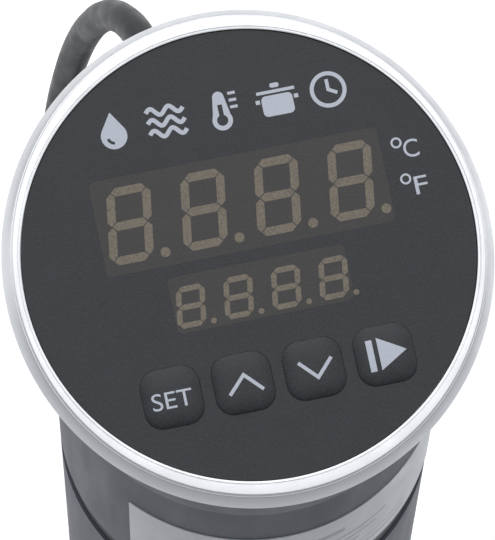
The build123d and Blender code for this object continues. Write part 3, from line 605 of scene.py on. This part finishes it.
def coil_points():
    """The put-away length, wound clockwise. Each point stands out enough for the curve to keep its radius."""
    points = []
    for travelled in range(0, coil_travel + 1, coil_step):
        for (start, radius_a, height_a), (end, radius_b, height_b) in zip(coil_plan, coil_plan[1:]):
            if start <= travelled <= end:
                t = (travelled - start) / (end - start)
                t = t * t * (3 - 2 * t)
                radius = (radius_a + (radius_b - radius_a) * t) / cos(radians(coil_step / 2))
                height = height_a + (height_b - height_a) * t
                break
        angle = radians(coil_join - travelled)
        points.append((coil_centre[0] + radius * cos(angle), coil_centre[1] + radius * sin(angle), height))
    return points


def make_lead(finish):
    """The lead from its strain relief to its plug, as one curve."""
    wound = coil_points()
    last = wound[-1]
    tail = [tuple(a + (b - a) * t for a, b in zip(last, plug_entry)) for t in (0.35, 0.7)]
    tail[0] = (*tail[0][:2], 16.2)
    tail[1] = (*tail[1][:2], 11.6)
    route = lead_route + wound + tail + [plug_entry]
    curve = bpy.data.curves.new("lead", "CURVE")
    curve.dimensions = "3D"
    curve.bevel_depth = cord_diameter / 2 * MM
    curve.bevel_resolution = 5
    curve.resolution_u = 8
    curve.use_fill_caps = True
    spline = curve.splines.new("NURBS")
    spline.points.add(len(route) - 1)
    for point, place in zip(spline.points, route):
        point.co = (*(Vector(place) * MM), 1)
    spline.order_u = 3
    spline.use_endpoint_u = True
    curve.materials.append(finish)
    lead = add_object("lead", curve)
    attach(lead, "root")
    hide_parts("mains_lead", "lead_coil")
    return lead


# ---- control head
def make_bezel(finish):
    """Bezel ring: spigot, sloped flank, narrow step, flat crown with one fine turned line."""
    round_points = [
        (bezel_bore, -bezel_ledge), (bezel_bore, bezel_rise - 0.12), (bezel_bore + 0.04, bezel_rise - 0.04),
        (bezel_bore + 0.12, bezel_rise), (groove_inner - 0.02, bezel_rise),
        (groove_inner, bezel_rise - 0.03), (groove_inner + 0.01, bezel_rise - groove_depth),
        (groove_outer - 0.01, bezel_rise - groove_depth), (groove_outer, bezel_rise - 0.03),
        (groove_outer + 0.02, bezel_rise)]
    crown_edge = rounded_corner((bezel_top_radius - 0.3, bezel_rise), (bezel_top_radius, bezel_rise),
                                (bezel_top_radius, bezel_rise - 0.3))
    step_foot = rounded_corner((bezel_top_radius, -bezel_step + 0.08), (bezel_top_radius, -bezel_step),
                               (bezel_top_radius + 0.08, -bezel_step), 3)
    flank_top = rounded_corner((bezel_flank_radius - 0.12, -bezel_step), (bezel_flank_radius, -bezel_step),
                               (bezel_flank_radius + 0.07, -bezel_step - 0.14), 4)
    flank_foot = rounded_corner((bezel_foot_radius - 0.09, -bezel_depth + 0.18),
                                (bezel_foot_radius, -bezel_depth),
                                (bezel_foot_radius - 0.25, -bezel_depth), 4)
    oval_points = crown_edge + step_foot + flank_top + flank_foot
    spigot = [(panel_radius - 1.4, -bezel_depth), (panel_radius - 1.4, -bezel_depth - 3.0),
              (bezel_inner_lip, -bezel_depth - 3.0), (bezel_inner_lip, -bezel_ledge)]
    profile = round_points + oval_points + spigot
    stretch = [1.0] * len(round_points) + [slope] * len(oval_points) + [1.0] * len(spigot)
    bezel = turned("bezel", profile, face_place, finish, count=256, stretch=stretch)
    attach(bezel, "root")
    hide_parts("bezel_ring")


def key_place(index):
    return key_row_x + key_pitch * (index - 1.5), key_row_y


def make_film(film_finish, lens_finish):
    """The grained film with its openings, and the smoked windows set flush in it."""
    openings = [rounded_box(key_place(index), key_skirt + 2 * film_gap, key_skirt + 2 * film_gap, key_corner)
                for index in range(4)]
    windows = [("main_window_lens", "main_lens", main_window, main_window_at),
               ("timer_window_lens", "timer_lens", timer_window, timer_window_at)]
    for name, node, size, at in windows:
        openings.append(rounded_box(at, size[0], size[1], window_corner))
        outline = rounded_box(at, size[0] - 2 * film_gap, size[1] - 2 * film_gap, window_corner)
        lens = flat_piece(name, [outline], -panel_thick, 0.0, face_place, lens_finish)
        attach(lens, "root")
        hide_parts(node)
    film = flat_piece("panel_film", [circle_outline((0, 0), panel_radius, 256)] + openings,
                      -panel_thick, 0.0, face_place, film_finish)
    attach(film, "root")
    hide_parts("front_panel")


def pillow_height(reach):
    """Height of a key's pillow, reach being 0 at its centre and 1 at its edge."""
    return key_rise * (1 - reach ** pillow_fall) ** pillow_round


def make_key(index, finish):
    """One embossed key: a soft pillow with an upright skirt that slides in the film's opening."""
    centre = key_place(index)
    count_steps = 12
    levels = [0.02, 0.15, 0.3, 0.42, 0.54, 0.64, 0.73, 0.8, 0.86, 0.905, 0.94, 0.965, 0.982, 0.993, 1.0]
    points = []
    for level in levels:
        side = key_skirt * level
        for u, v in rounded_box(centre, side, side, key_corner * level, count_steps):
            points.append((u, v, max(pillow_height(level), 0.0) - (0.01 if level == 1.0 else 0.0)))
    ring = 4 * (count_steps + 1)
    for u, v in rounded_box(centre, key_skirt, key_skirt, key_corner, count_steps):
        points.append((u, v, -panel_thick))
    faces = ring_faces(len(levels) + 1, ring, False)
    faces.append(tuple(range(ring)))
    bottom = len(levels) * ring
    faces.append(tuple(range(bottom, bottom + ring)))
    name = key_names[index]
    key = mesh_piece(name + "_pillow", points, faces, face_place, finish)
    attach(key, name)
    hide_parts(name)


def drape_on_key(piece, index):
    """Bends a flat legend onto its key's pillow."""
    centre = key_place(index)
    work = bmesh.new()
    work.from_mesh(piece.data)
    work.transform(face_place.inverted())
    bmesh.ops.triangulate(work, faces=work.faces)
    for _ in range(5):
        long_edges = [edge for edge in work.edges if edge.calc_length() > 0.45]
        if not long_edges:
            break
        bmesh.ops.subdivide_edges(work, edges=long_edges, cuts=1)
        bmesh.ops.triangulate(work, faces=work.faces)
    for vertex in work.verts:
        half = key_skirt / 2
        across, along = abs(vertex.co.x - centre[0]) / half, abs(vertex.co.y - centre[1]) / half
        vertex.co.z += pillow_height(rounded_reach(across, along))
    work.transform(face_place)
    work.to_mesh(piece.data)
    work.free()


def rounded_reach(across, along):
    """How far out a point is in a key's rounded outline: 0 at the centre, 1 at the edge."""
    corner = key_corner / (key_skirt / 2)
    straight = 1 - corner
    if across < straight * max(across, along, 1e-9) or along < straight * max(across, along, 1e-9):
        return max(across, along)
    # on the rounded corner: solve |p - straight * reach| = corner * reach
    total = across + along
    a = 2 * straight ** 2 - corner ** 2
    b = -2 * straight * total
    c = across ** 2 + along ** 2
    root = max(b * b - 4 * a * c, 0.0) ** 0.5
    candidates = [(-b - root) / (2 * a), (-b + root) / (2 * a)]
    return min(value for value in candidates if value >= max(across, along) - 1e-6)


def fitted_text(name, body, box, low, high, finish):
    """A legend scaled to fill a box (left, bottom, right, top) on the face."""
    piece = text_piece(name, body, 4.0, (0, 0), low, high, Matrix.Identity(4), finish)
    across = [vertex.co.x for vertex in piece.data.vertices]
    up = [vertex.co.y for vertex in piece.data.vertices]
    scale_x = (box[2] - box[0]) / (max(across) - min(across))
    scale_y = (box[3] - box[1]) / (max(up) - min(up))
    fit = (Matrix.Translation((box[0], box[1], 0)) @ Matrix.Diagonal((scale_x, scale_y, 1, 1))
           @ Matrix.Translation((-min(across), -min(up), 0)))
    piece.data.transform(face_place @ fit)
    return piece


def make_legends(ink):
    """Functional marks on the keys and beside the unit lamps."""
    on_keys = [
        (0, fitted_text("legend_set", "SET", (-21.4, -23.3, -14.5, -20.4), print_sink, print_thick, ink)),
        (1, flat_piece("legend_up", [stroke_outline([(-8.3, -23.1), (-5.4, -20.1), (-2.5, -23.1)], 0.6)],
                       print_sink, print_thick, face_place, ink)),
        (2, flat_piece("legend_down", [stroke_outline([(4.0, -20.0), (6.9, -23.0), (9.7, -20.0)], 0.6)],
                       print_sink, print_thick, face_place, ink)),
        (3, flat_piece("legend_start", [[(15.8, -24), (16.9, -24), (16.9, -18.6), (15.8, -18.6)],
                                        [(17.7, -24), (22.5, -21.2), (17.7, -18.4)]],
                       print_sink, print_thick, face_place, ink))]
    for index, legend in on_keys:
        drape_on_key(legend, index)
        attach(legend, key_names[index])
    for name, letter, ring_at, box in (("celsius_mark", "C", (28.3, 13.7), (29.3, 10.8, 31.9, 13.9)),
                                       ("fahrenheit_mark", "F", (28.6, 7.3), (29.9, 4.3, 32.1, 7.4))):
        mark = fitted_text(name, letter, box, 0.0, print_thick, ink)
        ring = flat_piece(name + "_ring", [circle_outline(ring_at, 0.95), circle_outline(ring_at, 0.6)],
                          0.0, print_thick, face_place, ink)
        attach(mark, "root")
        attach(ring, "root")


def digit_outlines(origin, width, height, stroke, gap, slant):
    """The seven bars of one digit, leaning to the right."""
    half = height / 2
    inset = stroke / 2

    def bar(start, end):
        """A bar with pointed ends between two corners of the figure."""
        along = Vector(end) - Vector(start)
        length = along.length
        along.normalize()
        side = Vector((-along.y, along.x)) * inset
        begin = Vector(start) + along * gap
        finish = Vector(start) + along * (length - gap)
        return [begin, begin + along * inset + side, finish - along * inset + side,
                finish, finish - along * inset - side, begin + along * inset - side]

    left, right = inset, width - inset
    low, middle, high = inset, half, height - inset
    bars = [bar((left, low), (right, low)), bar((left, middle), (right, middle)),
            bar((left, high), (right, high)),
            bar((left, low), (left, middle)), bar((left, middle), (left, high)),
            bar((right, low), (right, middle)), bar((right, middle), (right, high))]
    lean = tan(slant)
    return [[(origin[0] + point.x + lean * point.y, origin[1] + point.y) for point in outline]
            for outline in bars]


def make_digits(finish):
    """Unlit seven-segment figures that show through the smoked windows."""
    slant = radians(8.5)
    main, timer = [], []
    for index in range(4):
        left = -23.6 + 12.74 * index
        main += digit_outlines((left, 2.3), 7.6, 13.1, 1.45, 0.12, slant)
        main.append(circle_outline((left + 9.7, 3.0), 0.85, 20))
        left = -14.6 + 8.2 * index
        timer += digit_outlines((left, -10.4), 5.0, 7.1, 0.95, 0.08, slant)
        timer.append(circle_outline((left + 6.3, -10.0), 0.5, 16))
    for name, outlines in (("main_figures", main), ("timer_figures", timer)):
        figures = flat_piece(name, outlines, 0.0, figure_thick, face_place, finish)
        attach(figures, "root")


def upright_box(u, left, right, low, high):
    """Outline of a box beside the line u, from left to right and from low to high."""
    return [(u + left, low), (u + right, low), (u + right, high), (u + left, high)]


def arc_points(centre, radius, degrees):
    """Points on a circle at the given degrees."""
    return [(centre[0] + radius * cos(radians(a)), centre[1] + radius * sin(radians(a))) for a in degrees]


def pictogram_outlines():
    """Five generic marks in a row above the window: drop, waves, thermometer, pot and clock."""
    marks = []
    base = pictogram_row
    u = -18.4
    drop = [(u, base + 3.3)]
    for step in range(25):
        angle = radians(32 - 244 * step / 24)
        drop.append((u + 2.25 * cos(angle), base - 0.85 + 2.25 * sin(angle)))
    marks.append(drop)
    shine = (u, base - 0.95)
    marks.append(arc_points(shine, 1.35, range(190, 266, 15)) + arc_points(shine, 0.85, range(265, 189, -15)))
    u = -9.2
    for level in (-1.9, 0.0, 1.9):
        wave = [(u - 3.2 + 6.4 * step / 32, base + level + 0.62 * sin(2 * pi * step / 16))
                for step in range(33)]
        marks.append(stroke_outline(wave, 0.75))
    u = 0.2
    bulb = (u, base - 1.75)
    cap = arc_points((u, base + 2.3), 0.98, range(0, 181, 15))
    marks.append(arc_points(bulb, 1.75, range(150, 391, 12)) + cap)
    marks.append(arc_points(bulb, 0.95, range(115, 426, 10)) + [(u + 0.4, base + 1.0), (u - 0.4, base + 1.0)])
    for level in (0.0, 1.2, 2.4):
        marks.append(upright_box(u, 1.7, 3.0, base + level, base + level + 0.5))
    u = 10.0
    marks.append(rounded_box((u, base - 0.9), 5.4, 3.6, 0.8, 5))
    marks.append(upright_box(u, -3.3, 3.3, base + 1.25, base + 1.8))
    marks.append(rounded_box((u, base + 2.55), 1.6, 0.8, 0.35, 4))
    marks.append(upright_box(u, -3.7, -2.95, base - 0.3, base + 0.4))
    marks.append(upright_box(u, 2.95, 3.7, base - 0.3, base + 0.4))
    u = 18.9
    marks.append(circle_outline((u, base), 3.15, 48))
    marks.append(circle_outline((u, base), 2.45, 48))
    marks.append(stroke_outline([(u, base + 1.8), (u, base), (u + 1.45, base - 0.8)], 0.6))
    return marks


def make_pictograms(ink):
    row = flat_piece("pictogram_row", pictogram_outlines(), 0.0, print_thick, face_place, ink)
    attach(row, "root")


# ---- body
def bent_strip(name, start, end, low, high, radius, thick, finish, steps_per_degree=0.5):
    """A thin strip bent round the body, from start to end degrees round from the front."""
    steps = max(2, int((end - start) * steps_per_degree))
    points, faces = [], []
    for step in range(steps + 1):
        angle = radians(-90 + start + (end - start) * step / steps)
        for reach in (radius, radius + thick):
            for height in (low, high):
                points.append((reach * cos(angle), reach * sin(angle), height))
    for step in range(steps):
        a, b = 4 * step, 4 * step + 4
        faces += [(a, a + 1, b + 1, b), (a + 2, b + 2, b + 3, a + 3),
                  (a, b, b + 2, a + 2), (a + 1, a + 3, b + 3, b + 1)]
    last = 4 * steps
    faces += [(0, 2, 3, 1), (last, last + 1, last + 3, last + 2)]
    return mesh_piece(name, points, faces, world_place, finish)


def make_label(finish, faint_ink):
    """Foil label with faint ruled fields and blank bars."""
    foil = bent_strip("label_foil_sheet", label_start, label_end, label_low, label_high, body_radius - 0.05,
                      label_proud + 0.05, finish, 1.0)
    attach(foil, "root")
    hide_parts("rating_label")
    bars = [(-22, 18, 329.5, 331.5), (-30, 6, 325.6, 326.5), (10, 34, 325.6, 326.5), (-30, -4, 322.8, 323.7),
            (0, 30, 322.8, 323.7), (-30, 24, 320.0, 320.9), (-30, 44, 316.6, 316.9), (-30, -12, 312.6, 314.8),
            (-8, 12, 313.2, 314.1), (18, 44, 313.2, 314.1)]
    for index, (start, end, low, high) in enumerate(bars):
        bar = bent_strip(f"label_bar_{index:02d}", start, end, low, high, label_face - ink_sink, bar_thick,
                         faint_ink)
        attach(bar, "root")


def make_level_marks(finish):
    """Lowest and highest water lines etched round the front of the skirt."""
    on_skirt = skirt_radius - ink_sink
    for name, height in (("low_water_line", low_water), ("high_water_line", high_water)):
        line = bent_strip(name, -water_spread, water_spread, height, height + water_line, on_skirt, mark_thick,
                          finish)
        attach(line, "root")
    for index in range(1, tick_count + 1):
        height = low_water + tick_pitch * index
        tick = bent_strip(f"level_tick_{index}", -tick_spread, tick_spread, height, height + tick_line,
                          on_skirt, mark_thick, finish)
        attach(tick, "root")


# ---- strain relief, clamp screw and grips
def along_back(back, height):
    """A place whose local Z points backwards, away from the user."""
    return world_place @ Matrix.Translation((0, back, height)) @ Matrix.Rotation(-pi / 2, 4, "X")


def make_strain_relief(finish):
    """Tapered bellows round the lead, with a collar at its root and eight ribs."""
    profile = [(0, 0), (relief_root, 0), (relief_root, 2.2)]
    profile += rounded_corner((relief_root - 0.1, 2.4), (relief_root - 0.9, 2.5), (relief_root - 0.9, 2.9), 4)
    pitch = (relief_length - 4.4) / relief_ribs
    for rib in range(relief_ribs):
        foot = 3.0 + rib * pitch
        top = relief_root - 0.1 - (relief_root - relief_tip) * (foot / relief_length)
        for rise, depth in ((0.0, 0.75), (0.25, 0.7), (0.42, 0.12), (0.6, 0.0), (pitch - 0.6, 0.0),
                            (pitch - 0.42, 0.12), (pitch - 0.25, 0.7)):
            profile.append((top - depth, foot + rise))
    profile += [(relief_tip, relief_length - 1.2), (relief_tip, relief_length - 0.4),
                (relief_tip - 0.3, relief_length), (0, relief_length)]
    place = along_back(cord_exit[1] - relief_length, cord_exit[2])
    relief = turned("strain_relief_bellows", profile, place, finish, count=64, closed=False)
    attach(relief, "root")
    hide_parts("strain_relief")
    return relief


def make_clamp_screw(finish):
    """Clamp screw with a rounded thread whose pitch is the pad's travel in one turn."""
    (_, near, low), (_, far, high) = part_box("clamp_screw")
    near, far, height = near / MM, far / MM, (low + high) / 2 / MM
    around = 36
    rows = int((far - near) / thread_step)
    points = []
    for row in range(rows + 1):
        back = (far - near) * row / rows
        for step in range(around):
            turn = step / around
            wave = ((back / thread_pitch + turn) % 1.0) * 2 - 1
            depth = thread_depth * max(0.0, 1 - (1 - abs(wave)) * 1.9) ** 0.8
            radius = screw_radius - depth
            points.append((radius * cos(2 * pi * turn), radius * sin(2 * pi * turn), back))
    faces = ring_faces(rows + 1, around, False)
    faces.append(tuple(range(around)))
    faces.append(tuple(range(rows * around, (rows + 1) * around)))
    screw = mesh_piece("clamp_screw_thread", points, faces, along_back(near, height), finish)
    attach(screw, "clamp_screw")
    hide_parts("clamp_screw")


def rib_tree(finish):
    """Geometry Nodes: upright ribs, evenly spaced on a circle, each turned outwards."""
    tree = bpy.data.node_groups.new("grip_ribs", "GeometryNodeTree")
    tree.interface.new_socket("Geometry", in_out="OUTPUT", socket_type="NodeSocketGeometry")
    tree.interface.new_socket("Rib Count", in_out="INPUT", socket_type="NodeSocketInt")
    for label in ("Circle Radius", "Rib Width", "Rib Length"):
        tree.interface.new_socket(label, in_out="INPUT", socket_type="NodeSocketFloat")
    given = tree.nodes.new("NodeGroupInput").outputs
    result = tree.nodes.new("NodeGroupOutput").inputs["Geometry"]
    circle = tree.nodes.new("GeometryNodeMeshCircle")
    rib = tree.nodes.new("GeometryNodeMeshUVSphere")
    rib.inputs["Segments"].default_value = 10
    rib.inputs["Rings"].default_value = 8
    stretch = tree.nodes.new("ShaderNodeCombineXYZ")
    shape = tree.nodes.new("GeometryNodeTransform")
    half_length, half_width = (tree.nodes.new("ShaderNodeMath") for _ in range(2))
    for halving in (half_length, half_width):
        halving.operation = "MULTIPLY"
        halving.inputs[1].default_value = 0.5
    put = tree.nodes.new("GeometryNodeInstanceOnPoints")
    outward = tree.nodes.new("FunctionNodeAlignRotationToVector")
    outward.axis = "X"
    where = tree.nodes.new("GeometryNodeInputPosition")
    real = tree.nodes.new("GeometryNodeRealizeInstances")
    paint = tree.nodes.new("GeometryNodeSetMaterial")
    paint.inputs["Material"].default_value = finish
    for source, target in (
            (given["Rib Count"], circle.inputs["Vertices"]),
            (given["Circle Radius"], circle.inputs["Radius"]),
            (given["Rib Width"], half_width.inputs[0]),
            (given["Rib Length"], half_length.inputs[0]),
            (half_width.outputs[0], stretch.inputs["X"]),
            (half_width.outputs[0], stretch.inputs["Y"]),
            (half_length.outputs[0], stretch.inputs["Z"]),
            (rib.outputs["Mesh"], shape.inputs["Geometry"]),
            (stretch.outputs["Vector"], shape.inputs["Scale"]),
            (circle.outputs["Mesh"], put.inputs["Points"]),
            (shape.outputs["Geometry"], put.inputs["Instance"]),
            (where.outputs["Position"], outward.inputs["Vector"]),
            (outward.outputs["Rotation"], put.inputs["Rotation"]),
            (put.outputs["Instances"], real.inputs["Geometry"]),
            (real.outputs["Geometry"], paint.inputs["Geometry"]),
            (paint.outputs["Geometry"], result)):
        tree.links.new(source, target)
    return tree


def grown(name, tree, settings, place):
    """The plain mesh that a Geometry Nodes tree makes with these inputs, put in its place."""
    maker = bpy.data.objects.new(name, bpy.data.meshes.new(name))
    bpy.context.scene.collection.objects.link(maker)
    modifier = maker.modifiers.new(name, "NODES")
    modifier.node_group = tree
    for item in tree.interface.items_tree:
        if item.in_out == "INPUT" and item.name in settings:
            modifier[item.identifier] = settings[item.name]
    maker.update_tag()
    mesh = bpy.data.meshes.new_from_object(maker.evaluated_get(bpy.context.evaluated_depsgraph_get()))
    maker.modifiers.remove(modifier)
    bpy.data.objects.remove(maker)
    mesh.name = name
    mesh.transform(place)
    mesh.shade_smooth()
    return add_object(name, mesh)


def make_grip_ribs(finish):
    """Ribs round the base cap, for wet fingers, under the slots of its bayonet."""
    low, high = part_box("base_cap")
    cap_radius = high[0]
    ribs = grown("base_cap_ribs", rib_tree(finish),
                 {"Rib Count": grip_count, "Circle Radius": cap_radius - grip_width * 0.25 * MM,
                  "Rib Width": grip_width * MM, "Rib Length": grip_length * MM},
                 Matrix.Translation((0, 0, low[2] + grip_height * MM)))
    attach(ribs, "base_cap")


make_camera()
make_surroundings()

film_dark, film_light = (0.001, 0.0013, 0.002), (0.030, 0.033, 0.040)
finishes = {
    "satin_bezel": satin_silver(),
    "membrane_film": grained_film("membrane_film", film_dark, film_light),
    "key_film": grained_film("key_film", film_dark, film_light),
    "smoked_lens": grained_film("smoked_lens", (0.020, 0.0185, 0.0185), (0.048, 0.045, 0.044)),
    "inner_plastic": moulded("inner_plastic", (0.08, 0.08, 0.085)),
    "circuit_board": circuit_board(),
    "display_module": moulded("display_module", (0.05, 0.05, 0.052), 0.3, coat=0.3),
    "switch_plastic": moulded("switch_plastic", (0.03, 0.03, 0.03), 0.4),
    "lamp_plastic": moulded("lamp_plastic", (0.55, 0.16, 0.1), 0.2, coat=0.6),
    "zinc_screw": metal("zinc_screw", (0.36, 0.36, 0.35), 0.42),
    "grey_housing": housing_paint(),
    "label_foil": label_foil(),
    "black_rubber": moulded("black_rubber", (0.012, 0.013, 0.015), 0.6, grain=0.35),
    "bulkhead_plastic": moulded("bulkhead_plastic", (0.1, 0.1, 0.1)),
    "steel_skirt": metal("steel_skirt", (0.62, 0.62, 0.63), 0.28, stretch=(1, 1, 0.03), line=0.12, depth=0.006),
    "steel_screw": metal("steel_screw", (0.62, 0.62, 0.62), 0.2),
    "black_plastic": moulded("black_plastic", (0.02, 0.02, 0.022), 0.42, grain=0.6, depth=0.04),
    "heater_steel": metal("heater_steel", (0.5, 0.49, 0.46), 0.3, stretch=(1, 1, 0.05)),
    "shaft_steel": metal("shaft_steel", (0.58, 0.58, 0.6), 0.22, stretch=(0.1, 0.1, 1)),
    "brass_coupling": metal("brass_coupling", (0.75, 0.58, 0.3), 0.3, stretch=(0.1, 0.1, 1)),
    "bush_plastic": moulded("bush_plastic", (0.7, 0.68, 0.62), 0.4),
    "motor_zinc": metal("motor_zinc", (0.5, 0.5, 0.5), 0.4, line=1.2),
    "copper_winding": metal("copper_winding", (0.72, 0.36, 0.2), 0.35, stretch=(0.2, 0.2, 2), line=0.4,
                            depth=0.1),
    "transformer_core": moulded("transformer_core", (0.07, 0.07, 0.07), 0.4),
    "relay_case": moulded("relay_case", (0.05, 0.14, 0.4), 0.35),
    "capacitor_sleeve": moulded("capacitor_sleeve", (0.04, 0.05, 0.12), 0.25, coat=0.4),
    "sink_aluminium": metal("sink_aluminium", (0.7, 0.7, 0.72), 0.4, stretch=(1, 1, 0.05)),
    "clamp_plastic": moulded("clamp_plastic", (0.022, 0.022, 0.025), 0.45, grain=0.8, depth=0.05),
    "cord_rubber": cord_rubber(),
    "tie_strap": moulded("tie_strap", (0.015, 0.015, 0.016), 0.5),
    "brass_pin": metal("brass_pin", (0.8, 0.68, 0.42), 0.25),
}
for subpart in frame["record"]["subparts"]:
    node = frame["nodes"][subpart["node"]]
    node.data.materials.clear()
    node.data.materials.append(finishes[subpart["material_slot"]])

print_ink = printed_ink("print_ink", (0.50, 0.53, 0.60))
segment_ink = grained_film("unlit_segment", (0.085, 0.070, 0.050), (0.23, 0.195, 0.15))
faint_ink = printed_ink("faint_ink", (0.34, 0.345, 0.37))
level_ink = printed_ink("level_ink", (0.03, 0.03, 0.032))

record_slot = {subpart["node"]: subpart["material_slot"] for subpart in frame["record"]["subparts"]}
strain_relief = make_strain_relief(finishes[record_slot["strain_relief"]])
make_lead(finishes["cord_rubber"])
make_bezel(finishes["satin_bezel"])
make_film(finishes["membrane_film"], finishes["smoked_lens"])
for key_index in range(4):
    make_key(key_index, finishes["key_film"])
make_legends(print_ink)
make_digits(segment_ink)
make_pictograms(print_ink)
make_label(finishes["label_foil"], faint_ink)
make_level_marks(level_ink)
make_clamp_screw(finishes[record_slot["clamp_screw"]])
make_grip_ribs(finishes[record_slot["base_cap"]])
